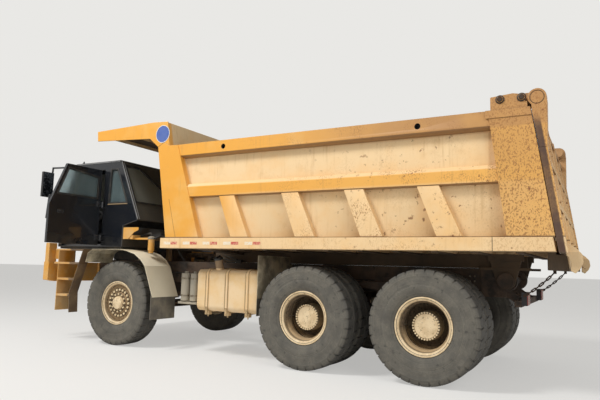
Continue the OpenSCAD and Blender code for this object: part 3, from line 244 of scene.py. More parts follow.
def tub_enamel():
    """Sprayed machine enamel on welded plate: yellow, faded rearwards, under pale quarry dust and rust, with
    painted shade on the undersides, under the canopy, along the foot of the sheets and below the sills.
    """
    material, tree, shader, place = start("tub_enamel")
    fade = either(tree, times(tree, along(tree, place, "X", own_x(2300), own_x(-2600)), 0.62),
                  blotch(tree, place, 900, 0.5, 0.75, seed=3.0))
    side = plus(tree, put(tree, "ShaderNodeSeparateXYZ", {0: place}, out=1), CENTRE[1] / 1000.0)
    side = put(tree, "ShaderNodeMath", {0: side}, operation="ABSOLUTE")
    # Dust lies on the set-back sheets between the posts and rails
    sheet = ramp(tree, side, 1.650, 1.606, "SMOOTHSTEP")
    cloud = blotch(tree, place, 500, 0.25, 0.6, seed=1.0)
    tail = along(tree, place, "X", own_x(-2395), own_x(-2425))
    off_tail = squeeze(tree, tail, 1.0, 0.25)
    low = times(tree, along(tree, place, "Z", 2.2, 1.6), along(tree, place, "X", own_x(2000), own_x(1600)),
                off_tail)
    ribs = times(tree, along(tree, place, "X", own_x(1500), own_x(700)), along(tree, place, "Z", 2.40, 2.33),
                 off_tail)
    sill = along(tree, place, "Z", 1.76, 1.74)
    dust = either(tree, times(tree, sheet, squeeze(tree, cloud, 0.7)),
                  times(tree, ribs, squeeze(tree, cloud, 0.5, 0.85)),
                  times(tree, low, squeeze(tree, cloud, 0.35, 0.8)),
                  times(tree, sill, squeeze(tree, cloud, 0.5, 0.9)),
                  times(tree, facing(tree, "Z", 0.3, 0.8), 0.8))
    streak = times(tree, blotch(tree, place, 55, 0.52, 0.8, stretch=(1.0, 1.0, 0.06), seed=5.0),
                   blotch(tree, place, 700, 0.4, 0.6, seed=2.0), 0.45)
    grime = times(tree, blotch(tree, place, 320, 0.56, 0.78, detail=8.0, seed=8.0), 0.35)
    # Tail post and the rear of the top rail are worn brown, the more the higher
    rubbed = squeeze(tree, along(tree, place, "Z", 1.8, 3.0), 0.08, 0.5)
    rail = times(tree, along(tree, place, "X", own_x(1000), own_x(-1900)),
                 along(tree, place, "Z", 2.94, 3.0), 0.9)
    worn = either(tree, times(tree, tail, rubbed), rail)
    worn = times(tree, worn, squeeze(tree, cloud, 0.75))
    scatter = either(tree, times(tree, tail, 0.9), blotch(tree, place, 420, 0.42, 0.62, seed=6.0))
    specks = times(tree, blotch(tree, place, 15, 0.50, 0.61, detail=3.0, stretch=(1.0, 1.0, 0.65), seed=4.0),
                   scatter, squeeze(tree, along(tree, place, "X", own_x(1300), own_x(-1200)), 0.05),
                   squeeze(tree, sheet, 1.0, 0.16), squeeze(tree, sill, 1.0, 0.35))
    # Painted shade: a dark brown line where the sheets and posts stand on the sill, and darker brown on every
    # underside
    sill_shade_line = times(tree, along(tree, place, "Z", 1.762, 1.750), along(tree, place, "Z", 1.7385, 1.7395), 0.75)
    below = times(tree, without(tree, facing(tree, "Z", -0.75, -0.2)), along(tree, place, "Z", 1.60, 1.62),
                  0.85)
    # Painted shade: the canopy's underside is very dark brown
    canopy_shade = times(tree, below, along(tree, place, "X", own_x(2330), own_x(2420)))
    rust = times(tree, blotch(tree, place, 75, 0.62, 0.7, detail=6.0, seed=9.0),
                 along(tree, place, "X", own_x(1200), own_x(-2800)))
    # Top edges rubbed dark by falling rock
    top = times(tree, along(tree, place, "Z", 3.14, 3.175), facing(tree, "Z", 0.25, 0.7),
                along(tree, place, "X", own_x(2350), own_x(2300)),
                blotch(tree, place, 160, 0.25, 0.5, seed=7.0), 0.85)
    # Inside of the load space, scoured to bare plate and stained by the load
    to_load = put(tree, "ShaderNodeVectorMath", {0: (own_x(-600), own_y(0), 2.9), 1: place},
                  operation="SUBTRACT")
    to_load = put(tree, "ShaderNodeVectorMath", {0: to_load}, operation="NORMALIZE")
    normal = put(tree, "ShaderNodeTexCoord", out=1)
    inwards = put(tree, "ShaderNodeVectorMath", {0: to_load, 1: normal}, out=1, operation="DOT_PRODUCT")
    inwards = ramp(tree, inwards, 0.02, 0.08)
    within = ramp(tree, side, 1.602, 1.596)
    # Grows forwards square to the tail's slope: its value tells the gate from what stands before it
    sloped = put(tree, "ShaderNodeVectorMath", {0: place, 1: (1.0, 0.0, -TAIL_SLOPE)}, out=1,
                 operation="DOT_PRODUCT")
    before_gate = ramp(tree, sloped, -4.420, -4.415)
    inside = times(tree, inwards, within, before_gate, along(tree, place, "Z", 1.700, 1.705),
                   along(tree, place, "Z", 3.19, 3.17))
    gate = ramp(tree, sloped, -4.350, -4.356)
    ends = ramp(tree, side, 1.708, 1.712)
    front_half = ramp(tree, sloped, -4.432, -4.418)
    edge = times(tree, gate, ends, along(tree, place, "Z", 3.12, 2.95), front_half,
                 squeeze(tree, cloud, 0.75))
    scrape = blotch(tree, place, 60, 0.35, 0.7, stretch=(0.06, 1.0, 0.6), seed=11.0)
    # Three of these layers are painted shade: the line along the sill, every underside and the canopy's
    # underside
    colour = lay(tree, "#E6A43F", [
        ("#E8B566", fade), ("#EBCD9F", dust), ("#AD8052", worn), ("#B4854A", streak), ("#C79A5E", grime),
        ("#A0703F", specks), ("#7A4A2B", rust), ("#5D4836", top), ("#6E5034", sill_shade_line), ("#7A5A38", below),
        ("#32291E", canopy_shade), ("#4E382C", edge)])
    scraped = times(tree, scrape, blotch(tree, place, 420, 0.4, 0.65, seed=15.0))
    stained = blotch(tree, place, 260, 0.5, 0.7, seed=12.0)
    plate = lay(tree, "#7E6B55", [("#94806A", scraped), ("#5B4A3A", stained)])
    # Below the sills: dark brown painted shade, with lighter clouds and dust on upward faces
    upward_dust_and_light = times(tree, facing(tree, "Z", 0.3, 0.8), 0.7)
    underside_shade_colour = lay(tree, "#2B221A", [("#4E3F30", cloud), ("#6B5843", upward_dust_and_light)])
    colour = put(tree, "ShaderNodeMixRGB", {"Fac": inside, "Color1": colour, "Color2": plate})
    claws = ramp(tree, sloped, -4.412, -4.420)
    under = times(tree, along(tree, place, "Z", 1.588, 1.582), 0.97, without(tree, times(tree, claws, 0.8)))
    colour = put(tree, "ShaderNodeMixRGB", {"Fac": under, "Color1": colour, "Color2": underside_shade_colour})
    lumps = plus(tree, blotch(tree, place, 330, 0.2, 0.8, detail=2.0, seed=13.0),
                 times(tree, blotch(tree, place, 9, 0.3, 0.8, seed=14.0), 0.12))
    close(tree, shader, colour, 0.42, 0.88, dust, lumps, 3.0)
    return material


def cab_enamel():
    """Polished black enamel on pressed steel: glossy sides, brown dust on the rear faces and low down."""
    material, tree, shader, place = start("cab_enamel")
    cloud = blotch(tree, place, 260, 0.3, 0.65, seed=51.0)
    rear = times(tree, facing(tree, "X", -0.45, -0.8), along(tree, place, "X", own_x(3800), own_x(3700)),
                 squeeze(tree, cloud, 0.45, 0.9))
    foot = times(tree, along(tree, place, "Z", 1.9, 1.6), cloud, 0.22)
    dust = either(tree, times(tree, cloud, 0.05), times(tree, facing(tree, "Z", 0.4, 0.9), 0.55), rear, foot)
    wiped = times(tree, blotch(tree, place, 130, 0.56, 0.72, stretch=(1.0, 1.0, 0.15), seed=52.5), 0.25)
    specks = times(tree, blotch(tree, place, 11, 0.7, 0.73, detail=2.0, seed=53.5), 0.8)
    colour = lay(tree, "#0C1119", [("#4F4A3F", dust), ("#3C3B3A", wiped), ("#8A8474", specks)])
    lumps = plus(tree, times(tree, blotch(tree, place, 190, 0.2, 0.8, detail=2.0, seed=54.5), 0.7),
                 times(tree, blotch(tree, place, 7, 0.3, 0.8, seed=55.5), 0.1))
    shader.inputs["Coat Weight"].default_value = 0.45
    close(tree, shader, colour, 0.24, 0.9, dust, lumps, 1.0)
    return material


def dusty_coat(name, clean, dust_code, amount, rough=0.4, up=0.7, low=(1.6, 0.5), grease=None, seed=0.0,
               beyond=None):
    """Sprayed coat under road dust: more of it low down, on upward faces and in clouds; chips show the metal.
    beyond is an axis, the places where an end of another colour begins and is whole, and its colour: a stain,
    rubber, painted shade or a painted highlight, as each finish gives."""
    material, tree, shader, place = start(name)
    cloud = blotch(tree, place, 260, 0.3, 0.65, seed=seed + 1.0)
    fall = along(tree, place, "Z", low[0], low[1])
    dust = either(tree, times(tree, cloud, amount), times(tree, facing(tree, "Z", 0.2, 0.8), up),
                  times(tree, fall, squeeze(tree, cloud, 0.3), min(1.0, amount * 1.6)))
    chips = times(tree, blotch(tree, place, 13, 0.68, 0.72, detail=3.0, seed=seed + 2.0),
                  blotch(tree, place, 300, 0.45, 0.6, seed=seed + 3.0))
    layers = [(dust_code, dust), ("#5A4636", times(tree, chips, 0.8))]
    if grease:
        smears = blotch(tree, place, 190, 0.55, 0.68, detail=6.0, seed=seed + 4.0)
        layers.append((grease, times(tree, smears, 0.8)))
    if beyond:
        axis, begins, whole, code = beyond
        # The end's colour, which for some finishes is painted shade or a painted highlight
        stained = times(tree, along(tree, place, axis, begins, whole), squeeze(tree, cloud, 0.95, 0.75))
        layers.append((code, stained))
    colour = lay(tree, clean, layers)
    lumps = plus(tree, times(tree, blotch(tree, place, 120, 0.2, 0.8, detail=2.0, seed=seed + 5.0), 0.6),
                 times(tree, blotch(tree, place, 7, 0.3, 0.8, seed=seed + 6.0), 0.25))
    close(tree, shader, colour, rough, 0.9, dust, lumps, 1.2)
    return material


def tyre_rubber(name, axle_x):
    """Carbon-black rubber, moulded: grey-brown dust on the walls with rubbed circles, a darker tread."""
    material, tree, shader, place = start(name)
    radius = radius_from(tree, place, axle_x)
    outwards = put(tree, "ShaderNodeCombineXYZ", {0: radius})
    circles = put(tree, "ShaderNodeTexNoise", {"Vector": outwards, "Scale": 1000.0 / 14.0, "Detail": 2.0})
    circles = ramp(tree, circles, 0.5, 0.7, "SMOOTHSTEP")
    cloud = blotch(tree, place, 150, 0.3, 0.68, detail=6.0, seed=21.0)
    fine = blotch(tree, place, 18, 0.4, 0.7, seed=22.0)
    wall = either(tree, facing(tree, "Y", 0.5, 0.8), without(tree, facing(tree, "Y", -0.8, -0.5)))
    dust = either(tree, times(tree, wall, squeeze(tree, cloud, 0.5, 0.95)), times(tree, cloud, 0.45))
    rubbed = times(tree, circles, wall, blotch(tree, place, 420, 0.42, 0.6, seed=24.0), 0.45)
    tread = ramp(tree, radius, 0.640, 0.668)
    stains = times(tree, blotch(tree, place, 60, 0.6, 0.7, seed=23.0), 0.5)
    colour = lay(tree, "#383734", [
        ("#67635A", dust), ("#7C766A", times(tree, fine, cloud, 0.4)), ("#8B8677", rubbed),
        ("#45433F", times(tree, tread, 0.5)), ("#2B2A28", stains)])
    lumps = plus(tree, times(tree, fine, 0.5), times(tree, cloud, 0.5))
    close(tree, shader, colour, 0.62, 0.93, dust, lumps, 0.8)
    return material


def rim_enamel(name, axle_x, front):
    """Sprayed steel wheel: cream flange and cap, brown brake dust and mud in the dish, chipped flange; the
    twin wheels' dish is darkened further as painted shade, and upward faces in the barrel are painted lighter
    as painted light.
    """
    material, tree, shader, place = start(name)
    cloud = blotch(tree, place, 90, 0.42, 0.62, detail=7.0, seed=31.0)
    fine = blotch(tree, place, 26, 0.45, 0.66, detail=6.0, seed=32.0)
    radius = radius_from(tree, place, axle_x)
    dish = band(tree, radius, 0.107 if front else 0.178, 0.303)
    groove = either(tree, band(tree, radius, 0.3275, 0.3335, 0.001),
                    band(tree, radius, 0.3005, 0.3040, 0.001))
    # Dark mud between the nuts; upward faces in the lower half of the barrel are painted lighter, a painted
    # highlight where light falls
    if front:
        nut_rows = either(tree, band(tree, radius, 0.185, 0.238), band(tree, radius, 0.122, 0.160))
    else:
        nut_rows = band(tree, radius, 0.146, 0.174)
    upward_dust_and_light = times(tree, band(tree, radius, 0.262, 0.303), facing(tree, "Z", 0.0, 0.5), 0.8)
    dust = either(tree, times(tree, cloud, 0.6), times(tree, dish, 0.9))
    # On the twin wheels the near-black dish is mud and painted shade of the deep dish
    dish_mud_and_shade = "#957B58" if front else "#544431"
    dish_blotches_and_shade = "#5E4A33" if front else "#2F261B"
    chips = times(tree, blotch(tree, place, 26, 0.6, 0.66, seed=33.0), 0.6)
    colour = lay(tree, "#E6CFA8", [
        ("#C9AE84", times(tree, cloud, 0.6)), (dish_mud_and_shade, times(tree, dish, 0.94)),
        (dish_blotches_and_shade, times(tree, dish, fine, 0.85)), ("#3B2E20", times(tree, nut_rows, 0.88)), ("#B99D75", upward_dust_and_light),
        ("#3A2E21", times(tree, groove, 0.85)), ("#6B543B", chips)])
    close(tree, shader, colour, 0.45, 0.9, dust, blotch(tree, place, 12, 0.3, 0.8, seed=34.0), 0.8)
    return material


def glass(name, tint, dust_code, dusty, clear, behind=0.0):
    """Toughened sheet glass, tinted: clear and glossy under a cloudy film of dust; behind is how opaque a
    rear face is made, where a lining stands close behind it."""
    material, tree, shader, place = start(name)
    haze = squeeze(tree, blotch(tree, place, 240, 0.25, 0.75, detail=6.0, seed=41.0), dusty * 0.5, dusty)
    if behind:
        haze = either(tree, haze, times(tree, without(tree, facing(tree, "X", -0.92, -0.8)), behind))
    tree.links.new(lay(tree, tint, [(dust_code, haze)]), shader.inputs["Base Color"])
    tree.links.new(squeeze(tree, haze, 0.04, 0.8), shader.inputs["Roughness"])
    tree.links.new(squeeze(tree, haze, clear, 0.0), shader.inputs["Transmission Weight"])
    shader.inputs["IOR"].default_value = 1.5
    return material


def bare_metal(name, code, stain, rough, seed=0.0):
    """Bare steel: bright where it rubs, stained brown between, with fine scratches."""
    material, tree, shader, place = start(name)
    stained = blotch(tree, place, 45, 0.5, 0.66, detail=6.0, seed=seed)
    shader.inputs["Metallic"].default_value = 0.9
    close(tree, shader, lay(tree, code, [(stain, times(tree, stained, 0.8))]), rough, 0.75, stained,
          blotch(tree, place, 6, 0.3, 0.8, stretch=(1.0, 1.0, 0.1), seed=seed + 1.0), 0.3)
    return material


def moulded(name, code, pale, rough, seed=0.0):
    """Moulded rubber or plastic: even colour, fine grain, and a little dust."""
    material, tree, shader, place = start(name)
    dust = blotch(tree, place, 110, 0.45, 0.75, seed=seed)
    close(tree, shader, lay(tree, code, [(pale, times(tree, dust, 0.6))]), rough, 0.9, dust,
          blotch(tree, place, 4, 0.3, 0.8, seed=seed + 1.0), 0.3)
    return material


def seat_weave():
    """Woven polyester cover: dark warp and weft 6 mm apart, coarser than real so that they show."""
    material, tree, shader, place = start("seat_weave")
    # A wave texture has 20 bands in each unit of its scale
    threads = {"Vector": place, "Scale": 1000.0 / 6.0 / 20.0, "Distortion": 0.3}
    warp = put(tree, "ShaderNodeTexWave", threads, out=1, bands_direction="Y")
    weft = put(tree, "ShaderNodeTexWave", threads, out=1, bands_direction="X")
    cover = put(tree, "ShaderNodeMath", {0: warp, 1: weft}, operation="MAXIMUM")
    dust = blotch(tree, place, 130, 0.45, 0.75, seed=64.0)
    colour = lay(tree, "#17181B", [("#33353A", cover), ("#5A554C", times(tree, dust, 0.45))])
    shader.inputs["Sheen Weight"].default_value = 0.25
    close(tree, shader, colour, 0.85, 0.97, dust, cover, 0.8)
    return material


def film(name, code, worn, seed):
    """Adhesive reflecting film: fine glass beads under clear plastic, scuffed through in places."""
    material, tree, shader, place = start(name)
    scuff = blotch(tree, place, 22, 0.46, 0.6, detail=6.0, seed=seed)
    close(tree, shader, lay(tree, code, [(worn, times(tree, scuff, 0.75))]), 0.3, 0.85, scuff,
          blotch(tree, place, 3, 0.3, 0.8, seed=seed + 1.0), 0.2)
    return material


FINISH = {
    "tub": tub_enamel(),
    # Enamel on the small yellow parts: fresher than the tub's
    "yellow": dusty_coat("machine_enamel", "#E09E33", "#CDB083", 0.55, seed=50.0),
    "cab": cab_enamel(),
    # Chassis paint: matt black under brown road dust
    "chassis": dusty_coat("chassis_paint", "#26221E", "#6B5644", 0.6, rough=0.7, up=0.8, seed=52.0,
                          grease="#15120F"),
    # Cast iron of axles and hubs: brown dust and dark grease
    "iron": dusty_coat("cast_iron", "#2A241F", "#5E4C3D", 0.6, rough=0.75, up=0.8, seed=53.0,
                       grease="#14110E"),
    # Moulded polypropylene guards, bleached by dust; the fenders' rear panels are painted paler, a painted
    # highlight that lifts them where they lie in shade
    "guard": dusty_coat("guard_plastic", "#6E6656", "#CFC1A2", 0.95, rough=0.7, up=0.9, low=(1.5, 0.9),
                        seed=54.0, beyond=("X", own_x(3300), own_x(3150), "#EADFC4")),
    # Splash guards: the same, with rubber flaps hung below
    "flaps": dusty_coat("guard_and_flap", "#6E6656", "#CFC1A2", 0.95, rough=0.75, up=0.9, low=(1.5, 0.9),
                        seed=74.0, beyond=("Z", 0.900, 0.888, "#5E5A54")),
    # Fuel tank: cream enamel under pale dust, with spilt fuel's brown stain round the filler
    "tank": dusty_coat("tank_enamel", "#E3BE86", "#E9CFA8", 0.8, rough=0.45, up=0.8, low=(1.4, 0.6),
                       seed=55.0, beyond=("Z", 1.296, 1.302, "#5F4733")),
    # Straps and clamps: galvanised steel caked with dust
    "strap": dusty_coat("strap_steel", "#8C7350", "#D3B78B", 0.55, rough=0.6, seed=70.0),
    # Ladder: yellow painted darker as painted shade under the cab, and its rear stringer dark grey-brown,
    # painted shade with mud
    "ladder": dusty_coat("step_enamel", "#C88D32", "#CDB083", 0.55, seed=71.0,
                         beyond=("X", own_x(4600), own_x(4560), "#4B4037")),
    # Wheel nuts and cap bolts: cream enamel worn to steel on the corners
    "nut": dusty_coat("nut_enamel", "#EAD7B2", "#CDB48A", 0.4, rough=0.4, seed=72.0),
    # Pale grey primer for the gutter and the beads along the cab's rear corner, which are painted highlights;
    # the cab's bearers, yellow where the sun reaches and dark brown painted shade further inboard
    "edge": dusty_coat("primer_and_painted_highlight", "#8C8D8E", "#6F6A60", 0.3, seed=75.0),
    "bearer": dusty_coat("bearer_enamel", "#E09E33", "#CDB083", 0.55, seed=76.0,
                         beyond=("Y", own_y(1270), own_y(1180), "#2B241D")),
    "seam": dusty_coat("weld_seam", "#A87A36", "#B98F54", 0.4, seed=73.0),
    # Grey painted air and oil vessels
    "vessel": dusty_coat("vessel_paint", "#8B867A", "#A89D88", 0.6, rough=0.5, seed=56.0),
    "front_rubber": tyre_rubber("front_tyre_rubber", FRONT_X),
    "mid_rubber": tyre_rubber("mid_tyre_rubber", 0.0),
    "rear_rubber": tyre_rubber("rear_tyre_rubber", REAR_X),
    "front_rim": rim_enamel("front_rim_enamel", FRONT_X, True),
    "mid_rim": rim_enamel("mid_rim_enamel", 0.0, False),
    "rear_rim": rim_enamel("rear_rim_enamel", REAR_X, False),
    "flap": moulded("flap_rubber", "#3A3732", "#827967", 0.75, seed=57.0),
    "hose": moulded("hose_rubber", "#1C1B1A", "#5F574A", 0.6, seed=58.0),
    "trim": moulded("trim_plastic", "#1B1C1E", "#4C4740", 0.5, seed=59.0),
    "cab_glass": glass("window_glass", "#8FA6AA", "#7A705C", 0.24, 0.92, behind=0.78),
    "door_glass": glass("door_window_glass", "#9DB4BA", "#9A917E", 0.20, 0.95),
    "lamp_glass": glass("lamp_glass", "#F4F4EE", "#D8D2C4", 0.55, 0.6),
    "chrome": bare_metal("ground_steel", "#C9C9C6", "#8C8170", 0.18, seed=60.0),
    "bolt": bare_metal("bolt_steel", "#8D8576", "#6A5540", 0.5, seed=61.0),
    "chain": bare_metal("chain_steel", "#4A4038", "#5C3F2A", 0.6, seed=62.0),
    "mirror": bare_metal("mirror_glass", "#5F666B", "#56585A", 0.08, seed=63.0),
    "red_lens": glass("red_lens", "#B3201B", "#8A5B4A", 0.3, 0.5),
    "amber_lens": glass("amber_lens", "#E08A1E", "#B58A5A", 0.3, 0.5),
    "seat": seat_weave(),
    # Round plate without marks: enamel fired on steel, faded blue with a white rim
    "disc_blue": dusty_coat("fired_enamel_blue", "#2F55A6", "#8C94A8", 0.25, rough=0.35, seed=65.0),
    "disc_white": dusty_coat("fired_enamel_white", "#E3E4E2", "#CFC3A4", 0.35, rough=0.35, seed=66.0),
    "tape_red": film("red_film", "#C25A4E", "#E3B796", 67.0),
    "tape_white": film("white_film", "#E8DFCC", "#EBCB98", 68.0),
    # Silencer and stack: sheet steel blued and browned by heat
    "heat": dusty_coat("heated_steel", "#4B3B30", "#80705B", 0.45, rough=0.6, up=0.6, low=(1.9, 1.4),
                       seed=69.0, grease="#2B2520"),
}


# Meshes

def grid_faces(rows, cols, wrap_rows=False, wrap_cols=False):
    """Four-cornered faces of a grid of points, joined round where a way wraps."""
    r, c = np.meshgrid(np.arange(rows if wrap_rows else rows - 1), np.arange(cols if wrap_cols else cols - 1),
                       indexing="ij")
    below, over = (r + 1) % rows, (c + 1) % cols
    corners = [r * cols + c, r * cols + over, below * cols + over, below * cols + c]
    return np.stack(corners, axis=-1).reshape(-1, 4)


def tube(path, radius, steps=12):
    """Round tube: at each point of the path, a circle square to the path; its ends close on their middles."""
    path = np.asarray(path, dtype=float)
    way = np.gradient(path, axis=0)
    way /= np.linalg.norm(way, axis=1)[:, None]
    side = np.cross(way, [0.31, 0.17, 0.93])
    side /= np.linalg.norm(side, axis=1)[:, None]
    third = np.cross(way, side)
    turn = np.linspace(0, 2 * np.pi, steps, endpoint=False)
    ring = np.cos(turn)[None, :, None] * side[:, None] + np.sin(turn)[None, :, None] * third[:, None]
    first, last = (np.repeat(end[None, None], steps, 1) for end in (path[0], path[-1]))
    points = np.concatenate([first, path[:, None] + radius * ring, last])
    return points.reshape(-1, 3), grid_faces(len(path) + 2, steps, wrap_cols=True)


def turned(profile, centre, axis, steps=32, ring=False):
    """Turned body: profile points (radius, distance) go round an axis through the centre; the profile of a
    ring is closed."""
    profile = np.asarray(profile, dtype=float)
    turn = np.linspace(0, 2 * np.pi, steps, endpoint=False)
    a, b = profile[:, 0, None] * np.cos(turn), profile[:, 0, None] * np.sin(turn)
    d = np.repeat(profile[:, 1, None], steps, 1)
    order = {"X": (d, a, b), "Y": (b, d, a), "Z": (a, b, d)}[axis]
    return (np.stack(order, axis=-1) + np.asarray(centre, dtype=float)).reshape(-1, 3), \
        grid_faces(len(profile), steps, wrap_rows=ring, wrap_cols=True)[:, ::-1]


def studs(places, axis, radius, height, sides=6, back=2.0):
    """Bolt heads: at each place a short prism of a few sides along an axis, its top edge drawn in."""
    places = np.asarray(places, dtype=float)
    turn = np.linspace(0, 2 * np.pi, sides, endpoint=False)
    rings = [(radius, -back), (radius, height * 0.75), (radius * 0.82, height), (0.0, height)]
    one = np.array([[(r * math.cos(t), r * math.sin(t), d) for t in turn] for r, d in rings])
    one = one[:, :, {"X": (2, 0, 1), "Y": (1, 2, 0), "Z": (0, 1, 2)}[axis.upper()]]
    if axis.islower():
        one[..., "xyz".index(axis)] *= -1
    faces = grid_faces(4, sides, wrap_cols=True)[:, :: 1 if axis.islower() else -1]
    points = (places[:, None] + one.reshape(1, -1, 3)).reshape(-1, 3)
    firsts = np.arange(len(places)) * len(rings) * sides
    return points, (faces[None] + firsts[:, None, None]).reshape(-1, 4)


def slab(outline, lift):
    """Plate: a flat outline of points and its copy moved by lift, with a rim between them."""
    outline = np.asarray(outline, dtype=float)
    count = len(outline)
    points = np.concatenate([outline, outline + np.asarray(lift, dtype=float)])
    rim = grid_faces(2, count, wrap_cols=True).tolist()
    return points, [list(range(count))[::-1], list(range(count, 2 * count))] + rim


def box(low, high):
    """Box between two corners, as a plate."""
    (a, b, c), (d, e, f) = low, high
    return slab([(a, b, c), (d, b, c), (d, e, c), (a, e, c)], (0, 0, f - c))


def heap(*pieces):
    """Several shapes in one list of points and faces."""
    points, faces, count = [], [], 0
    for some, corners in pieces:
        points.append(np.asarray(some, dtype=float))
        faces += [[int(i) + count for i in face] for face in corners]
        count += len(some)
    return np.concatenate(points), faces


def piece(name, shape, finish, body, smooth=40.0, bevel=0.0):
    """Puts a shape, in the truck's own millimetres, into a mesh that rides on a body."""
    points, faces = shape
    mesh = bpy.data.meshes.new(name)
    mesh.from_pydata(own(points).tolist(), [], [list(map(int, face)) for face in faces])
    work = bmesh.new()
    work.from_mesh(mesh)
    bmesh.ops.remove_doubles(work, verts=work.verts, dist=1e-5)
    bmesh.ops.dissolve_degenerate(work, edges=work.edges, dist=1e-6)
    bmesh.ops.recalc_face_normals(work, faces=work.faces)
    work.to_mesh(mesh)
    work.free()
    return settle(name, mesh, finish, body, smooth, bevel)


def settle(name, mesh, finish, body, smooth, bevel):
    """Gives a mesh its object, shading, finish, body and slot."""
    mesh.polygons.foreach_set("use_smooth", [True] * len(mesh.polygons))
    mesh.set_sharp_from_angle(angle=math.radians(smooth))
    obj = bpy.data.objects.new(name, mesh)
    bpy.context.collection.objects.link(obj)
    mesh.materials.clear()
    mesh.materials.append(FINISH[finish])
    if bevel:
        edge = obj.modifiers.new("edges", "BEVEL")
        edge.width = bevel / 1000.0
        edge.segments = 2
        edge.limit_method = "WEIGHT"
        edge.use_clamp_overlap = False
        edge.loop_slide = False
        edge.harden_normals = True
    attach(obj, body)
    return obj


def apart(edge, other):
    """Least distance between two edges of one flat face."""
    reach = []
    for one, two in ((edge, other), (other, edge)):
        begin, end = (vert.co for vert in two.verts)
        way = end - begin
        for vert in one.verts:
            share = min(1.0, max(0.0, (vert.co - begin).dot(way) / way.length_squared))
            reach.append((vert.co - begin - way * share).length)
    return min(reach)


def soften(node, finish, width, smooth=32.0):
    """Stand-in for a CAD node with its edges rounded: doubles merged, flats joined, each edge's own width."""
    mesh = frame["nodes"][node].data.copy()
    work = bmesh.new()
    work.from_mesh(mesh)
    bmesh.ops.remove_doubles(work, verts=work.verts, dist=2e-5)
    bmesh.ops.dissolve_limit(work, angle_limit=math.radians(1.2), verts=work.verts, edges=work.edges)
    weight = work.edges.layers.float.new("bevel_weight_edge")
    for edge in work.edges:
        if not edge.is_manifold or edge.calc_face_angle(0.0) < math.radians(28):
            continue
        near = [other.calc_length() for vert in edge.verts for other in vert.link_edges if other is not edge]
        near += [apart(edge, other) for face in edge.link_faces for other in face.edges
                 if not set(edge.verts) & set(other.verts)]
        room = 0.34 * min(near + [edge.calc_length()])
        if edge.calc_face_angle_signed(0.0) < 0:
            room = min(room, 0.002)
        edge[weight] = min(1.0, room * 1000.0 / width)
    work.to_mesh(mesh)
    work.free()
    obj = settle("dressed_" + node, mesh, finish, body_of_node[node], smooth, width)
    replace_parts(obj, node)
    return obj


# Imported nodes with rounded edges: node, finish, width of the rounding in millimetres
for node, finish, width in [
        ("frame", "chassis", 4), ("front_bumper", "yellow", 8), ("front_axle", "iron", 6),
        ("springs", "chassis", 2), ("drive_axles", "iron", 5), ("prop_shafts", "iron", 4),
        ("engine", "iron", 12), ("grille", "cab", 2), ("hood", "cab", 4), ("deck", "yellow", 3),
        ("cab_shell", "cab", 16), ("cab_mounts", "bearer", 4), ("cab_glass", "cab_glass", 1),
        ("dashboard", "trim", 6), ("ladder", "ladder", 3), ("fenders", "guard", 2),
        ("splash_guards", "flaps", 2), ("fuel_tank", "tank", 5), ("air_tanks", "vessel", 5),
        ("oil_tank", "vessel", 6), ("exhaust", "heat", 4), ("mirrors", "trim", 6),
        ("knuckle_left", "iron", 5), ("knuckle_right", "iron", 5), ("tie_rod", "chassis", 2),
        ("front_rim_left", "front_rim", 4), ("front_rim_right", "front_rim", 4),
        ("mid_rims_left", "mid_rim", 4), ("mid_rims_right", "mid_rim", 4),
        ("rear_rims_left", "rear_rim", 4), ("rear_rims_right", "rear_rim", 4),
        ("tub_floor", "tub", 5), ("tub_sides", "tub", 8), ("headboard", "tub", 5),
        ("tail_chains", "chain", 2), ("tailgate", "tub", 7), ("door", "cab", 5),
        ("door_glass", "door_glass", 1), ("hoist_barrel", "yellow", 5), ("hoist_stage_one", "chrome", 2),
        ("hoist_stage_two", "chrome", 2), ("hoist_rod", "chrome", 3)]:
    soften(node, finish, width)


# Tyres

LUGS = 34
PITCH = 2 * math.pi / LUGS
# Half of a tyre's skin from the tread's middle to the bead: distance out, radius, depth of a notch and slant
# of its line in twelfths of a degree
HALF_SKIN = [
    (0, 684.6, 0, 0), (6, 684.6, 0, 0), (9, 678, 0, 0), (15, 678, 0, 0), (18, 684.5, 0, 0), (46, 684.2, 0, 0),
    (51, 684, 0, 0), (53.5, 683.8, 11, 0), (90, 683, 12, 5), (128, 681.8, 12, 11), (150, 680.6, 12, 14),
    (160, 677.5, 12, 15), (167, 670, 11, 15), (172, 657, 9, 15), (177, 641, 6, 15), (181, 627, 2.5, 15),
    (182.5, 620, 0, 15), (182, 613, 0, 15), (184.5, 609, 0, 15), (184.7, 603, 0, 15), (183.2, 599, 0, 15),
    (186, 560, 0, 15), (187, 520, 0, 15), (186.6, 506, 0, 15), (185.2, 503, 0, 15), (185.2, 497, 0, 15),
    (186.4, 494, 0, 15), (184, 460, 0, 15), (176, 425, 0, 15), (165, 401, 0, 15), (163.5, 395, 0, 15),
    (160, 392, 0, 15), (150, 376, 0, 15), (147, 368, 0, 15), (143, 362, 0, 15), (129, 357, 0, 15),
    (126.5, 352, 0, 15), (126.5, 324, 0, 15)]
# Places round one pitch, as shares of the pitch: both edges of a notch, its floor and the lug between
STEPS_ROUND = np.array([-0.095, -0.07, 0.07, 0.095, 0.32, 0.5, 0.68])


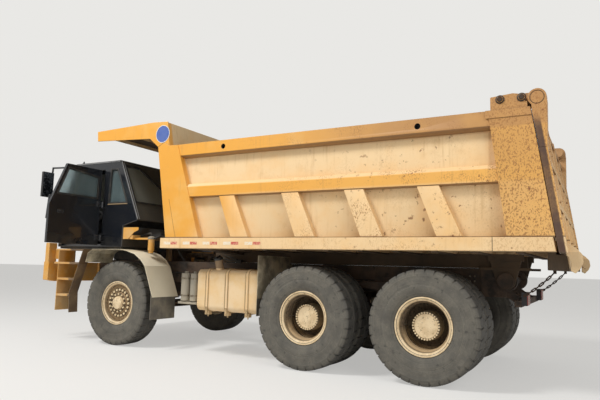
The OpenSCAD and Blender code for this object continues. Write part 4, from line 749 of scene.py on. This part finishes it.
def tyre(x, y, turn):
    """Tyre skin: angle goes round the wheel, station goes from bead to bead; radius falls by the notch depth
    where the angle lies within a notch, and each station's angles are slanted along its notch."""
    half = np.array(HALF_SKIN, dtype=float)
    left = half[::-1] * np.array([-1, 1, 1, 1])
    skin = np.concatenate([left[:-1], half])
    shift = np.where(skin[:, 0] < -50, 0.0, np.where(skin[:, 0] > 50, 0.5, 0.25 + skin[:, 0] / 200.0))
    angle = ((np.arange(LUGS)[:, None] + STEPS_ROUND[None]) * PITCH).reshape(-1)
    notch = np.tile((np.abs(STEPS_ROUND) < 0.08).astype(float), LUGS)
    way = angle[None] + (shift * PITCH + np.sign(skin[:, 0]) * np.radians(skin[:, 3] / 12.0))[:, None] + turn
    radius = skin[:, 1, None] - notch[None] * skin[:, 2, None]
    # On the shoulder a notch also goes inwards by half its depth
    inwards = 0.5 * (skin[:, 1, None] < 679) * skin[:, 2, None] * notch[None]
    side = skin[:, 0, None] - np.sign(skin[:, 0, None]) * inwards
    points = np.stack([x + radius * np.cos(way), np.broadcast_to(y + side, way.shape),
                       AXLE_Z + radius * np.sin(way)], axis=-1)
    return points.reshape(-1, 3), grid_faces(len(skin), len(angle), wrap_rows=True, wrap_cols=True)


for wheels, x, ys in [("front_tyre", FRONT_X, [FRONT_Y]), ("mid_tyres", 0.0, [OUTER_Y, INNER_Y]),
                      ("rear_tyres", REAR_X, [OUTER_Y, INNER_Y])]:
    for side, sign in (("left", 1), ("right", -1)):
        node = f"{wheels}_{side}"
        shape = heap(*[tyre(x, sign * y, 0.031 * i + 0.4 * sign) for i, y in enumerate(ys)])
        rubber = wheels.split("_")[0] + "_rubber"
        skin = piece("skin_" + node, shape, rubber, body_of_node[node], smooth=28.0)
        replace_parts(skin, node)


# Windows

def drawn_in(outline, by):
    """Flat closed outline with its edges moved inwards: each corner goes by / (1 + cosine of its turn) along
    the sum of its two edges' inward normals."""
    p = np.asarray(outline, dtype=float)
    after = np.roll(p, -1, axis=0)
    if (p[:, 0] * after[:, 1] - after[:, 0] * p[:, 1]).sum() < 0:
        p = p[::-1]
    edge = np.roll(p, -1, axis=0) - p
    edge /= np.linalg.norm(edge, axis=1)[:, None]
    normal = np.stack([-edge[:, 1], edge[:, 0]], axis=1)
    before = np.roll(normal, 1, axis=0)
    return p + by * (before + normal) / (1.0 + (before * normal).sum(axis=1))[:, None]


def seal(outline, reach, lip, depth, where):
    """Rubber seal round a window: rings at (distance in from the outline, height over the panel) joined in
    turn; where() takes a ring's two flat ways and its height to a place on the truck."""
    rings = [(-reach, -1.0), (-reach, 5.0), (-reach + 4.0, 8.0), (lip - 4.0, 8.0), (lip, 4.0), (lip, -depth)]
    loops = [(drawn_in(outline, by), height) for by, height in rings]
    points = [where(loop[:, 0], loop[:, 1], height) for loop, height in loops]
    return np.concatenate(points), grid_faces(len(rings), len(outline), wrap_rows=True, wrap_cols=True)


def on_left(x, z, height):
    """Place on the cab's left side."""
    return np.stack([x, np.full_like(x, CAB_LEFT + height), z], axis=1)


def on_right(x, z, height):
    """Place on the cab's right side."""
    return np.stack([x, np.full_like(x, CAB_RIGHT - height), z], axis=1)


def on_back(y, z, height):
    """Place on the cab's slanted rear face, which leans forward by 0.45 of its rise."""
    x = BACK_FOOT[0] + (z - BACK_FOOT[1]) * 0.4504 - 0.912 * height
    return np.stack([x, y, z + 0.411 * height], axis=1)


def on_screen(y, z, height):
    """Place on the windscreen, which leans back by 0.39 of its rise."""
    x = SCREEN_FOOT[0] - (z - SCREEN_FOOT[1]) * 0.3891 + 0.932 * height
    return np.stack([x, y, z + 0.363 * height], axis=1)


def on_door(out, z, height):
    """Place on the outer face of the open door, counted outwards from its hinge."""
    return np.stack([np.full_like(out, DOOR_OUTER_X - height), HINGE_Y + out, z], axis=1)


def in_door(out, z, height):
    """Place on the inner face of the open door."""
    return np.stack([np.full_like(out, DOOR_INNER_X + height), HINGE_Y + out, z], axis=1)


DOOR_WINDOW = [(75, 2430), (875, 2430), (693, 2865), (75, 2800)]
for name, outline, where in [
        ("seal_quarter", [(3475, 2353), (3915, 2353), (3890, 2943), (3735, 2943)], on_left),
        ("seal_right", [(3560, 2353), (4900, 2353), (4700, 2960), (3760, 2960)], on_right),
        # The rear window's slanted upper inner corner follows the edge of the canopy's shadow: the black
        # panel above it is painted shade
        ("seal_back", [(245, 2368), (1370, 2368), (1370, 3010), (1040, 3010), (630, 2700), (245, 2700)],
         on_back),
        ("seal_screen", [(240, 2290), (1360, 2290), (1360, 3020), (240, 3020)], on_screen)]:
    piece(name, seal(outline, 16.0, 14.0, 20.0, where), "hose", "chassis", smooth=50)
piece("seal_door", heap(*[seal(DOOR_WINDOW, 14.0, 14.0, 16.0, where) for where in (on_door, in_door)]),
      "hose", "door", smooth=50)


def path(where, *stops):
    """Line through places given by their two flat ways and height on a face."""
    u, v, h = np.array(stops, dtype=float).T
    return np.concatenate([where(u[i:i + 1], v[i:i + 1], h[i]) for i in range(len(u))])


# Parked wipers: an arm from its spindle and a blade that lies along the seal
WIPER = [([(430, 2268, 0), (430, 2268, 30), (452, 2275, 38), (640, 2325, 30)], 7.0),
         ([(410, 2322, 16), (620, 2330, 18), (830, 2334, 16)], 6.0)]
piece("wipers", heap(*[tube(path(on_screen, *[(y + shift, z, height) for y, z, height in stops]), radius, 8)
                       for shift in (0.0, 450.0) for stops, radius in WIPER]),
      "trim", "chassis")
LEVER_Z = 2140
bow = [(755, -2), (758, 26), (770, 32), (832, 32), (844, 26), (847, -2)]
plate = [(738, LEVER_Z - 28), (862, LEVER_Z - 28), (862, LEVER_Z + 28), (738, LEVER_Z + 28)]
piece("door_lever", heap(tube(path(on_door, *[(out, LEVER_Z, height) for out, height in bow]), 8.0, 10),
                         seal(plate, 0.0, 12.0, 0.5, on_door)),
      "trim", "door", bevel=1.5)
card = [(60, 1690), (960, 1690), (960, 2330), (900, 2385), (60, 2385)]
arm_rest = [(230, 2010), (720, 2010), (720, 2075), (230, 2075)]
piece("door_card", heap(slab(in_door(*np.array(card, dtype=float).T, 0.0), (7, 0, 0)),
                        slab(in_door(*np.array(arm_rest, dtype=float).T, 5.0), (52, 0, 0))),
      "trim", "door", bevel=4)
# Gutter over the door opening, pale beads along the rear corner that are painted highlights of its edges, and
# the dusty window ledge
piece("cab_beads", heap(tube(path(on_left, (3700, 3078, 3), (4790, 3078, 3)), 9.0, 8),
                        tube(path(on_back, (1438, 2075, 3), (1438, 3080, 3)), 7.0, 8),
                        tube(path(on_back, (1396, 2075, 2), (1396, 3080, 2)), 5.0, 8)),
      "edge", "chassis")
piece("window_ledge", tube(path(on_left, (3462, 2337, 3), (3930, 2337, 3)), 8.0, 8), "strap", "chassis")
# Rubber-coated sheet under the cab floor, and aprons that close the front wheel arches towards the frame
piece("cab_underside", box((3560, 180, 1572), (5090, 1436, 1603)), "hose", "chassis",
      bevel=4)
APRON = [(2944, 1403), (4195, 1403), (4170, 1496), (4060, 1560), (3393, 1560), (3262, 1539), (3087, 1494)]
piece("arch_aprons", heap(*[slab([(x, s * 990, z) for x, z in APRON], (0, s * 8, 0)) for s in (1, -1)]),
      "hose", "chassis")
knob = [(0, 0), (26, 0), (26, 10), (14, 16), (11, 44), (0, 47)]
piece("roof_knob", turned(knob, (4670, 1400, 3099), "Z", 20), "trim", "chassis")
piece("mirror_faces", heap(box((5176, 1624, 2492), (5181, 1818, 2918)),
                           box((5051, -1893, 2732), (5056, -1722, 3128))),
      "mirror", "chassis", bevel=2)


# Driver's place

def bellows(low, high, folds):
    """Rubber boot: rounded rectangles (superellipse of power 7) stacked up, every other one drawn in by a
    tenth."""
    low, high = np.array(low, dtype=float), np.array(high, dtype=float)
    turn = np.linspace(0, 2 * np.pi, 44, endpoint=False)
    flat = np.stack([np.sign(f(turn)) * np.abs(f(turn)) ** (2 / 7) for f in (np.cos, np.sin)], axis=1)
    heights = np.linspace(low[2], high[2], 2 * folds + 1)
    share = np.where(np.arange(2 * folds + 1) % 2 == 0, 1.0, 0.9)
    share = np.concatenate([[0.0], share, [0.0]])
    heights = np.concatenate([heights[:1], heights, heights[-1:]])
    half, middle = (high - low)[:2] / 2, (high + low)[:2] / 2
    rings = middle + half * flat[None] * share[:, None, None]
    rise = np.broadcast_to(heights[:, None, None], (len(share), len(turn), 1))
    points = np.concatenate([rings, rise], axis=2).reshape(-1, 3)
    return points, grid_faces(len(share), len(turn), wrap_cols=True)


def pad(name, low, high, lean, channels, way):
    """Foam pad in a sewn cover: a rounded box remeshed at 7 mm and swollen by cloth pressure, no point
    moving more than 15 mm; then sewn channels sink 5 mm along bell-shaped lines, and the pad leans back."""
    low, high = own(low), own(high)
    size, middle = high - low, (low + high) / 2
    mesh = bpy.data.meshes.new(name)
    work = bmesh.new()
    bmesh.ops.create_cube(work, size=1.0)
    bmesh.ops.scale(work, vec=size.tolist(), verts=work.verts)
    bmesh.ops.bevel(work, geom=work.edges[:], offset=0.028, segments=4, affect="EDGES", profile=0.5)
    work.to_mesh(mesh)
    work.free()
    obj = bpy.data.objects.new(name, mesh)
    bpy.context.collection.objects.link(obj)
    remesh = obj.modifiers.new("even", "REMESH")
    remesh.mode = "VOXEL"
    remesh.voxel_size = 0.007
    even = bpy.data.meshes.new_from_object(obj.evaluated_get(bpy.context.evaluated_depsgraph_get()))
    obj.modifiers.clear()
    obj.data = even
    before = np.empty(len(even.vertices) * 3)
    even.vertices.foreach_get("co", before)
    before = before.reshape(-1, 3)
    after = before.copy()
    cloth = obj.modifiers.new("swell", "CLOTH")
    cloth.settings.use_pressure = True
    cloth.settings.uniform_pressure_force = 4.0
    cloth.settings.effector_weights.gravity = 0.0
    for step in range(1, 21):
        bpy.context.scene.frame_set(step)
    swollen = obj.evaluated_get(bpy.context.evaluated_depsgraph_get()).to_mesh()
    after = np.empty(len(even.vertices) * 3)
    swollen.vertices.foreach_get("co", after)
    after = after.reshape(-1, 3)
    obj.modifiers.clear()
    bpy.context.scene.frame_set(1)
    move = after - before
    length = np.linalg.norm(move, axis=1)[:, None]
    after = before + move * np.minimum(1.0, 0.015 / np.maximum(length, 1e-9))
    face_way = 2 if way != 2 else 0
    outer = after[:, face_way] > 0.25 * size[face_way]
    for channel in channels:
        line = (channel - 0.5) * size[way]
        after[:, face_way] -= outer * 0.005 * np.exp(-((after[:, way] - line) / 0.007) ** 2)
    turn = math.radians(lean)
    foot = after[:, 2] + size[2] / 2
    after[:, 0], after[:, 2] = after[:, 0] * math.cos(turn) - foot * math.sin(turn), \
        after[:, 0] * math.sin(turn) + foot * math.cos(turn) - size[2] / 2
    even.vertices.foreach_set("co", (after + middle).ravel())
    even.update()
    even.polygons.foreach_set("use_smooth", [True] * len(even.polygons))
    even.materials.clear()
    even.materials.append(FINISH["seat"])
    finer = obj.modifiers.new("finer", "SUBSURF")
    finer.levels = finer.render_levels = 1
    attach(obj, "chassis")
    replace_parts(obj, "driver_seat")


pad("seat_cushion_pad", (3908, 568, 1957), (4402, 1072, 2057), 0.0, [0.14, 0.38, 0.62, 0.86], 0)
pad("seat_back_pad", (3912, 588, 2045), (4020, 1052, 2640), -7.4, [0.22, 0.42, 0.62, 0.82], 2)
boot = piece("seat_boot", bellows((3930, 600, 1655.4), (4350, 1040, 1958), 5), "hose", "chassis")
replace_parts(boot, "driver_seat")


def turned_along(profile, begin, way, steps=24):
    """Turned body about a slanted axis: profile points (radius, distance) round the line from begin."""
    profile, way = np.asarray(profile, dtype=float), np.asarray(way, dtype=float)
    way = way / np.linalg.norm(way)
    side = np.cross(way, [0.31, 0.17, 0.93])
    side /= np.linalg.norm(side)
    third = np.cross(way, side)
    turn = np.linspace(0, 2 * np.pi, steps, endpoint=False)[None, :, None]
    points = np.asarray(begin, dtype=float) + profile[:, 1, None, None] * way \
        + profile[:, 0, None, None] * (np.cos(turn) * side + np.sin(turn) * third)
    return points.reshape(-1, 3), grid_faces(len(profile), steps, wrap_cols=True)


# Instrument hood on the dashboard with three blank dials, pedals and the gear lever
piece("instrument_hood", slab([(4850, 660, 2140), (4868, 660, 2185), (4962, 660, 2305), (5010, 660, 2292),
                               (5030, 660, 2190), (4930, 660, 2140)], (0, 320, 0)),
      "trim", "chassis", bevel=8)
DIAL_WAY = (-0.787, 0.0, 0.617)
dials = [(4916, y, 2246) for y in (736, 820, 904)]
dial_rim = [(0, -3), (38, -3), (38, 5), (35, 7), (32, 5), (31, 1), (0, 1)]
dial_face = [(0, 0), (30.5, 0), (30.5, 2), (0, 2.4)]
piece("dial_rims", heap(*[turned_along(dial_rim, dial, DIAL_WAY) for dial in dials]), "chrome", "chassis",
      smooth=30)
piece("dial_faces", heap(*[turned_along(dial_face, dial, DIAL_WAY) for dial in dials]), "trim", "chassis")
piece("pedals", heap(*[slab([(4795, y, 1740), (4812, y, 1735), (4872, y, 1835), (4855, y, 1842)], (0, 62, 0))
                       for y in (600, 790, 930)],
                     *[tube([(4850, y + 31, 1815), (4905, y + 31, 1850), (4985, y + 31, 1940)], 9, 8)
                       for y in (600, 790, 930)]), "trim", "chassis", bevel=2)
stalk = [(4450, 430, 1655), (4452, 430, 1700), (4440, 430, 1900), (4425, 430, 2040)]
ball = [(0, -26), (16, -22), (26, -6), (26, 8), (16, 24), (0, 27)]
gaiter = [(70, 0), (66, 10), (30, 46), (14, 60), (0, 60)]
piece("gear_lever", heap(tube(stalk, 10, 10), turned(ball, (4423, 430, 2062), "Z", 20),
                         turned(gaiter, stalk[0], "Z", 24)), "hose", "chassis")

# Lamps
bowl = [(0, 0), (70, 0), (70, 52), (66, 55), (63, 52), (58, 36), (40, 16), (12, 8), (0, 8)]
lens = [(0, 47), (62, 47), (62, 52), (56, 57), (30, 60), (0, 60)]
places = [(5160, y, 1190) for y in (1320, 1160, -1160, -1320)]
cases = [box((-2711, low, 960), (-2650.4, high, 1120)) for low, high in [(700, 955), (-955, -700)]]
for name, shape, finish, smooth, bevel in [
        ("head_lamp_bowls", heap(*[turned(bowl, place, "X") for place in places]), "chrome", 30, 0),
        ("head_lamp_lenses", heap(*[turned(lens, place, "X") for place in places]), "lamp_glass", 40, 0),
        ("tail_lamp_cases", heap(*cases), "trim", 40, 5)]:
    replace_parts(piece(name, shape, finish, "chassis", smooth=smooth, bevel=bevel), "lamps")
for name, cells, finish in [("tail_lamp_red", (0, 2), "red_lens"), ("tail_lamp_amber", (1, ), "amber_lens")]:
    spans = [(706 + 82 * i, 784 + 82 * i) for i in cells]
    spans += [(-high, -low) for low, high in spans]
    piece(name, heap(*[box((-2719, low, 967), (-2709, high, 1113)) for low, high in spans]), finish,
          "chassis", bevel=3)

# Wheel nuts and cap bolts

def ring_places(x, y, radius, count, start=0.0):
    """Even places on a circle square to a wheel's axle."""
    turn = start + np.arange(count) * 2 * np.pi / count
    return np.stack([x + radius * np.cos(turn), np.full(count, y), AXLE_Z + radius * np.sin(turn)], axis=1)


for side, sign, axis in (("left", 1, "Y"), ("right", -1, "y")):
    piece(f"hub_nuts_{side}", heap(studs(ring_places(FRONT_X, sign * 1405, 212, 20), axis, 20, 20),
                                   studs(ring_places(FRONT_X, sign * 1428, 142, 12), axis, 16, 18)),
          "nut", f"front_wheel_{side}", smooth=30)
    for wheels, x in (("mid", 0.0), ("rear", REAR_X)):
        piece(f"cap_bolts_{wheels}_{side}", studs(ring_places(x, sign * 1429, 160, 30), axis, 12.5, 20),
              "nut", f"{wheels}_wheels_{side}", smooth=30)
        piece(f"valve_{wheels}_{side}", tube([(x + 262, sign * 1330, AXLE_Z), (x + 268, sign * 1390, AXLE_Z),
                                              (x + 285, sign * 1440, AXLE_Z)], 6, 8),
              "bolt", f"{wheels}_wheels_{side}")

# Frame: bolts at the cross-members, brake pipes along the rails, brake chambers, U-bolts and dampers
SIDES = (1, -1)
RAIL_Y = 520
left_bolts = [(x + dx, RAIL_Y, z) for x in (-1990, -1250, 420, 1300, 2190) for dx in (-30, 30)
              for z in (1225, 1290)]
right_bolts = [(x, -y, z) for x, y, z in left_bolts]
piece("rail_bolts", heap(studs(left_bolts, "Y", 13, 11), studs(right_bolts, "y", 13, 11)), "bolt", "chassis",
      smooth=30)
bolts = [(BUMPER_FRONT, s * y, z) for s in SIDES for y in (500, 860) for z in (1060, 1280)]
piece("bumper_bolts", studs(bolts, "X", 16, 13), "bolt", "chassis", smooth=30)
upper_pipe = [(-2000, 1190), (-600, 1190), (600, 1190), (2600, 1190), (3250, 1200)]
lower_pipe = [(-1900, 1165), (600, 1165), (2500, 1165)]
pipes = (upper_pipe, RAIL_Y + 10, 7), (lower_pipe, RAIL_Y + 12, 5)
piece("brake_pipes", heap(*[tube([(x, s * out, z) for x, z in line], radius, 8)
                            for line, out, radius in pipes for s in SIDES]),
      "hose", "chassis")
chamber = [(0, 0), (40, 0), (56, 12), (58, 50), (64, 54), (64, 66), (58, 70), (56, 112), (40, 124), (0, 124)]
stations = [(x, s * 735) for x in (0.0, REAR_X) for s in SIDES]
piece("brake_chambers", heap(*[turned(chamber, (x - 222, y, 705), "X", 28) for x, y in stations],
                             *[tube([(x - 104, y, 705), (x - 60, y, 705), (x, y, 690)], 20, 10)
                               for x, y in stations]),
      "iron", "chassis", smooth=35)
U_R = 139
under = np.radians(np.linspace(180, 360, 13))
bolts = []
for x in (0.0, REAR_X):
    for y in (586, 644, -586, -644):
        bend = [(x + U_R * math.cos(a), y, AXLE_Z + U_R * math.sin(a)) for a in under]
        down, up = [(x - U_R, y, 885), (x - U_R, y, 700)], [(x + U_R, y, 700), (x + U_R, y, 885)]
        bolts.append(tube(down + bend + up, 9, 8))
saddle = [(415, 690), (415, 815), (422, 824), (522, 824), (531, 815), (531, 690)]
for x in (3506, 3594):
    for s in SIDES:
        bolts.append(tube([(x, s * y, z) for y, z in saddle], 9, 8))
piece("u_bolts", heap(*bolts), "bolt", "chassis")
piece("dampers", heap(*[shape for s in (1, -1) for shape in (
    turned([(0, 0), (36, 0), (38, 8), (38, 240), (0, 240)], (3420, s * 578, 1000), "Z", 24),
    turned([(0, 0), (24, 0), (27, 12), (27, 250), (0, 250)], (3420, s * 578, 760), "Z", 24),
    tube([(3420, s * 578, 775), (3480, s * 540, 755), (3540, s * 500, 745)], 17, 10),
    tube([(3420, s * 578, 1215), (3420, s * 540, 1215), (3420, s * 512, 1215)], 17, 10))]),
    "chassis", "chassis", smooth=35)
# Pale conduits that show between the rail and the sill's front
piece("conduits", heap(tube([(2140, 560, 1500), (2040, 590, 1455), (1930, 585, 1430), (1800, 560, 1440),
                             (1650, 540, 1400)], 11, 10),
                       tube([(2080, 540, 1520), (1990, 560, 1490), (1880, 600, 1475), (1760, 590, 1425),
                             (1640, 545, 1396)], 9, 10),
                       box((1700, 522, 1392), (1800, 600, 1440))),
      "flap", "chassis", smooth=50)

# Rubber strips on the rails, on which the tub's long beams come to rest
piece("body_rests", heap(*[box((-2240, min(s * 432, s * 519), 1389), (2250, max(s * 432, s * 519), 1397))
                           for s in (1, -1)]), "hose", "chassis", bevel=1)

# Tanks and silencer

def strap_bead(x):
    """Raised edge of a strap: over the tank's top, round its two outer corners of 98 mm, and back below."""
    arc = np.radians(np.linspace(90, 0, 6))
    upper = np.stack([1350 + 99 * np.cos(arc), 1194 + 99 * np.sin(arc)], axis=1)
    lower = np.stack([upper[::-1, 0], 754 + 1194 - upper[::-1, 1]], axis=1)
    line = np.concatenate([[(780, 1293)], upper, lower, [(780, 655)]])
    return tube(np.concatenate([np.full((len(line), 1), x), line], axis=1), 7, 8)


STRAPS = [985.3, 1345.0, 1704.7]
piece("strap_beads", heap(*[strap_bead(x + dx) for x in STRAPS for dx in (-24, 24)]), "strap", "chassis",
      smooth=60)
piece("strap_clamps", heap(*[box((x - 34, 1352, 612), (x + 34, 1428, 668)) for x in STRAPS],
                           *[box((x - 16, 1400, 640), (x + 16, 1446, 742)) for x in STRAPS],
                           *[studs([(x, 1446, 715)], "Y", 17, 4) for x in STRAPS],
                           *[tube([(x, 1390, 640), (x, 1390, 592), (x, 1390, 584)], 9, 8) for x in STRAPS]),
      "strap", "chassis", bevel=5)
piece("fuel_cap", heap(turned_along([(0, 0), (66, 0), (68, 6), (68, 30), (60, 38), (24, 42), (0, 42)],
                                    (1563, 1380, 1432), (0, 60, 180), 28),
                       tube([(1563, 1346, 1492), (1563, 1396, 1476), (1563, 1446, 1459)], 9, 8)),
      "trim", "chassis", smooth=35)
hoop = [(74, -13), (79, -13), (79, 13), (74, 13)]
piece("air_tank_bands", heap(*[turned(hoop, (x, 1340, z), "Z", 28, ring=True)
                               for x in (2020, 2200) for z in (870, 1130)]),
      "bolt", "chassis", smooth=30)
CAN = (2990, 1330)
can_head = [(0, 0), (58, 0), (60, 8), (60, 30), (40, 44), (26, 50), (0, 50)]
can_bolts = [(CAN[0] + 48 * math.cos(a), CAN[1] + 48 * math.sin(a), 1770) for a in np.arange(6) * math.pi / 3]
piece("filter_head", heap(turned(can_head, (*CAN, 1740), "Z", 28), studs(can_bolts, "Z", 8, 8)),
      "vessel", "chassis", smooth=35)
to_engine = [(2990, 1330, 1788), (2992, 1328, 1816), (3020, 1310, 1836), (3110, 1270, 1838),
             (3250, 1240, 1815), (3345, 1230, 1790)]
to_frame = [(2940, 1330, 1755), (2905, 1310, 1765), (2870, 1250, 1800), (2850, 1130, 1812),
            (2860, 950, 1760), (2900, 700, 1500), (2920, 560, 1400)]
piece("filter_pipes", heap(tube(to_engine, 17, 12), tube(to_frame, 15, 12)), "hose", "chassis")
piece("stack_fittings", heap(*[
    turned([(r, -14), (r + 6, -14), (r + 6, 14), (r, 14)], (3260, -880, z), "Z", 28, ring=True)
    for r, z in ((119, 1640), (119, 2150), (59.5, 2330))],
    turned_along([(0, 0), (64, 0), (64, 5), (0, 5)], (3265, -880, 2626), (-0.35, 0, 0.94), 28)),
    "heat", "chassis", smooth=30)
oil_cap = [(0, 0), (46, 0), (48, 6), (48, 26), (38, 36), (0, 38)]
piece("right_side_lids", heap(turned(oil_cap, (1000, -1240, 1259), "Z", 24),
                              box((1794, -1386, 1176), (2356, -754, 1192)),
                              *[box((x, -1392, 1120), (x + 40, -1378, 1188)) for x in (1900, 2200)]),
      "trim", "chassis", bevel=3)

# Tub: plain round plate, reflecting tape along the sill's front, the joint in the sill and the post's crease
piece("round_plate_rim", turned([(132, 0), (141, 0), (141, 3), (132, 3.4)], (2503, TUB_HALF, 3381), "Y", 48),
      "disc_white", "tub", smooth=30)
piece("round_plate", turned([(0, 0), (133, 0), (133, 2.6), (0, 2.9)], (2503, TUB_HALF, 3381), "Y", 48),
      "disc_blue", "tub", smooth=30)
for name, shift, finish in (("tape_red", 0, "tape_red"), ("tape_white", 137, "tape_white")):
    piece(name, heap(*[box((x + shift - 62, SILL_Y - 1, 1640), (x + shift + 62, SILL_Y + 1.2, 1682))
                       for x in (2147, 1770, 1397, 1026, 656)]), finish, "tub")
piece("sill_joints", heap(*[box((-2457, min(s * SILL_Y, s * (SILL_Y + 1.5)), 1586),
                                (-2451, max(s * SILL_Y, s * (SILL_Y + 1.5)), 1738)) for s in (1, -1)]),
      "hose", "tub")
piece("post_creases", heap(*[tube([(2302, s * (TUB_HALF - 1), 2338), (2221, s * (TUB_HALF - 1), 2045),
                                   (2141, s * (TUB_HALF - 1), 1753)], 4.5, 6) for s in (1, -1)]),
      "seam", "tub", smooth=60)


def out_from(place, side, profile, steps, ring=False):
    """Turned body that points outwards from its place on one side of the truck, 1 left or -1 right."""
    x, y, z = place
    return turned([(r, side * d) for r, d in profile], (x, side * y, z), "Y", steps, ring)


# Dark linings of the lifting holes, washers and heads of the bracket's pins, groove round each gate disc
lining = [(0, 0), (37.6, 0), (37.6, 68), (34.5, 68), (34.5, 4), (0, 4)]
piece("hole_linings", heap(*[out_from((x, 1633, 3088), s, lining, 28) for x in (1320, -1600) for s in SIDES]),
      "hose", "tub", smooth=30)
washer = [(34, -1), (50, -1), (50, 6), (44, 9), (34, 9)]
head = [(0, 15), (25, 15), (31, 19), (31, 24), (24, 29), (0, 29)]
piece("pin_washers", heap(*[out_from((x, TUB_HALF - 8, 3300), s, profile, steps, ring)
                            for x in (-2560, -2790) for s in SIDES
                            for profile, steps, ring in ((washer, 28, True), (head, 12, False))]),
      "chain", "tub", smooth=30)
groove = [(70, -1), (76, -1), (76, 2.5), (70, 2.5)]
piece("disc_grooves", heap(*[out_from((-2948, TUB_HALF - 2, 3284), s, groove, 40, True) for s in SIDES]),
      "chain", "tailgate", smooth=30)


# Stage

def studio():
    """Pale floor, pale surroundings for the camera and mirrors, one wide lamp overhead and one beside."""
    steps = np.linspace(0, 2 * np.pi, 64, endpoint=False)
    mesh = bpy.data.meshes.new("floor")
    mesh.from_pydata([(150 * math.cos(t), 150 * math.sin(t), 0.0) for t in steps], [], [list(range(64))])
    floor = bpy.data.objects.new("floor", mesh)
    bpy.context.collection.objects.link(floor)
    paint = bpy.data.materials.new("floor_paint")
    paint.use_nodes = True
    paint.node_tree.nodes["Principled BSDF"].inputs["Base Color"].default_value = linear("#ECEAE6")
    paint.node_tree.nodes["Principled BSDF"].inputs["Roughness"].default_value = 0.9
    # Part of the floor's paleness reaches the camera unlit, and shadows stay in the rest
    tree = paint.node_tree
    rays = tree.nodes.new("ShaderNodeLightPath")
    share = put(tree, "ShaderNodeMath", {0: rays.outputs["Is Camera Ray"], 1: 0.55}, operation="MULTIPLY")
    pale = put(tree, "ShaderNodeEmission", {"Color": linear("#E9E8E5"), "Strength": 1.0})
    both = put(tree, "ShaderNodeMixShader", {0: share, 1: tree.nodes["Principled BSDF"].outputs[0], 2: pale})
    tree.links.new(both, tree.nodes["Material Output"].inputs["Surface"])
    mesh.materials.append(paint)
    world = bpy.data.worlds.new("surroundings")
    bpy.context.scene.world = world
    world.use_nodes = True
    tree = world.node_tree
    rays = tree.nodes.new("ShaderNodeLightPath")
    seen = put(tree, "ShaderNodeMath", {0: rays.outputs["Is Camera Ray"], 1: rays.outputs["Is Glossy Ray"]},
               operation="MAXIMUM")
    seen = put(tree, "ShaderNodeMath", {0: seen, 1: rays.outputs["Is Transmission Ray"]}, operation="MAXIMUM")
    light = put(tree, "ShaderNodeBackground", {"Color": linear("#FFFFFF"), "Strength": 0.30})
    show = put(tree, "ShaderNodeBackground", {"Color": linear("#E9E8E5"), "Strength": 1.0})
    mixed = put(tree, "ShaderNodeMixShader", {0: seen, 1: light, 2: show})
    tree.links.new(mixed, tree.nodes["World Output"].inputs["Surface"])
    for name, place, aim, size, power in [("key", (4.8, 8.6, 12.5), (-0.5, 0.5, 1.4), 3.4, 1640.0),
                                          ("fill", (-10.0, 7.0, 6.0), (-1.0, 0.0, 1.5), 6.0, 360.0)]:
        data = bpy.data.lights.new(name, "AREA")
        data.shape = "SQUARE"
        data.size = size
        data.energy = power
        lamp = bpy.data.objects.new(name, data)
        bpy.context.collection.objects.link(lamp)
        lamp.location = place
        lamp.rotation_euler = (Vector(aim) - Vector(place)).to_track_quat("-Z", "Y").to_euler()


studio()
bpy.context.scene.view_settings.view_transform = "Standard"
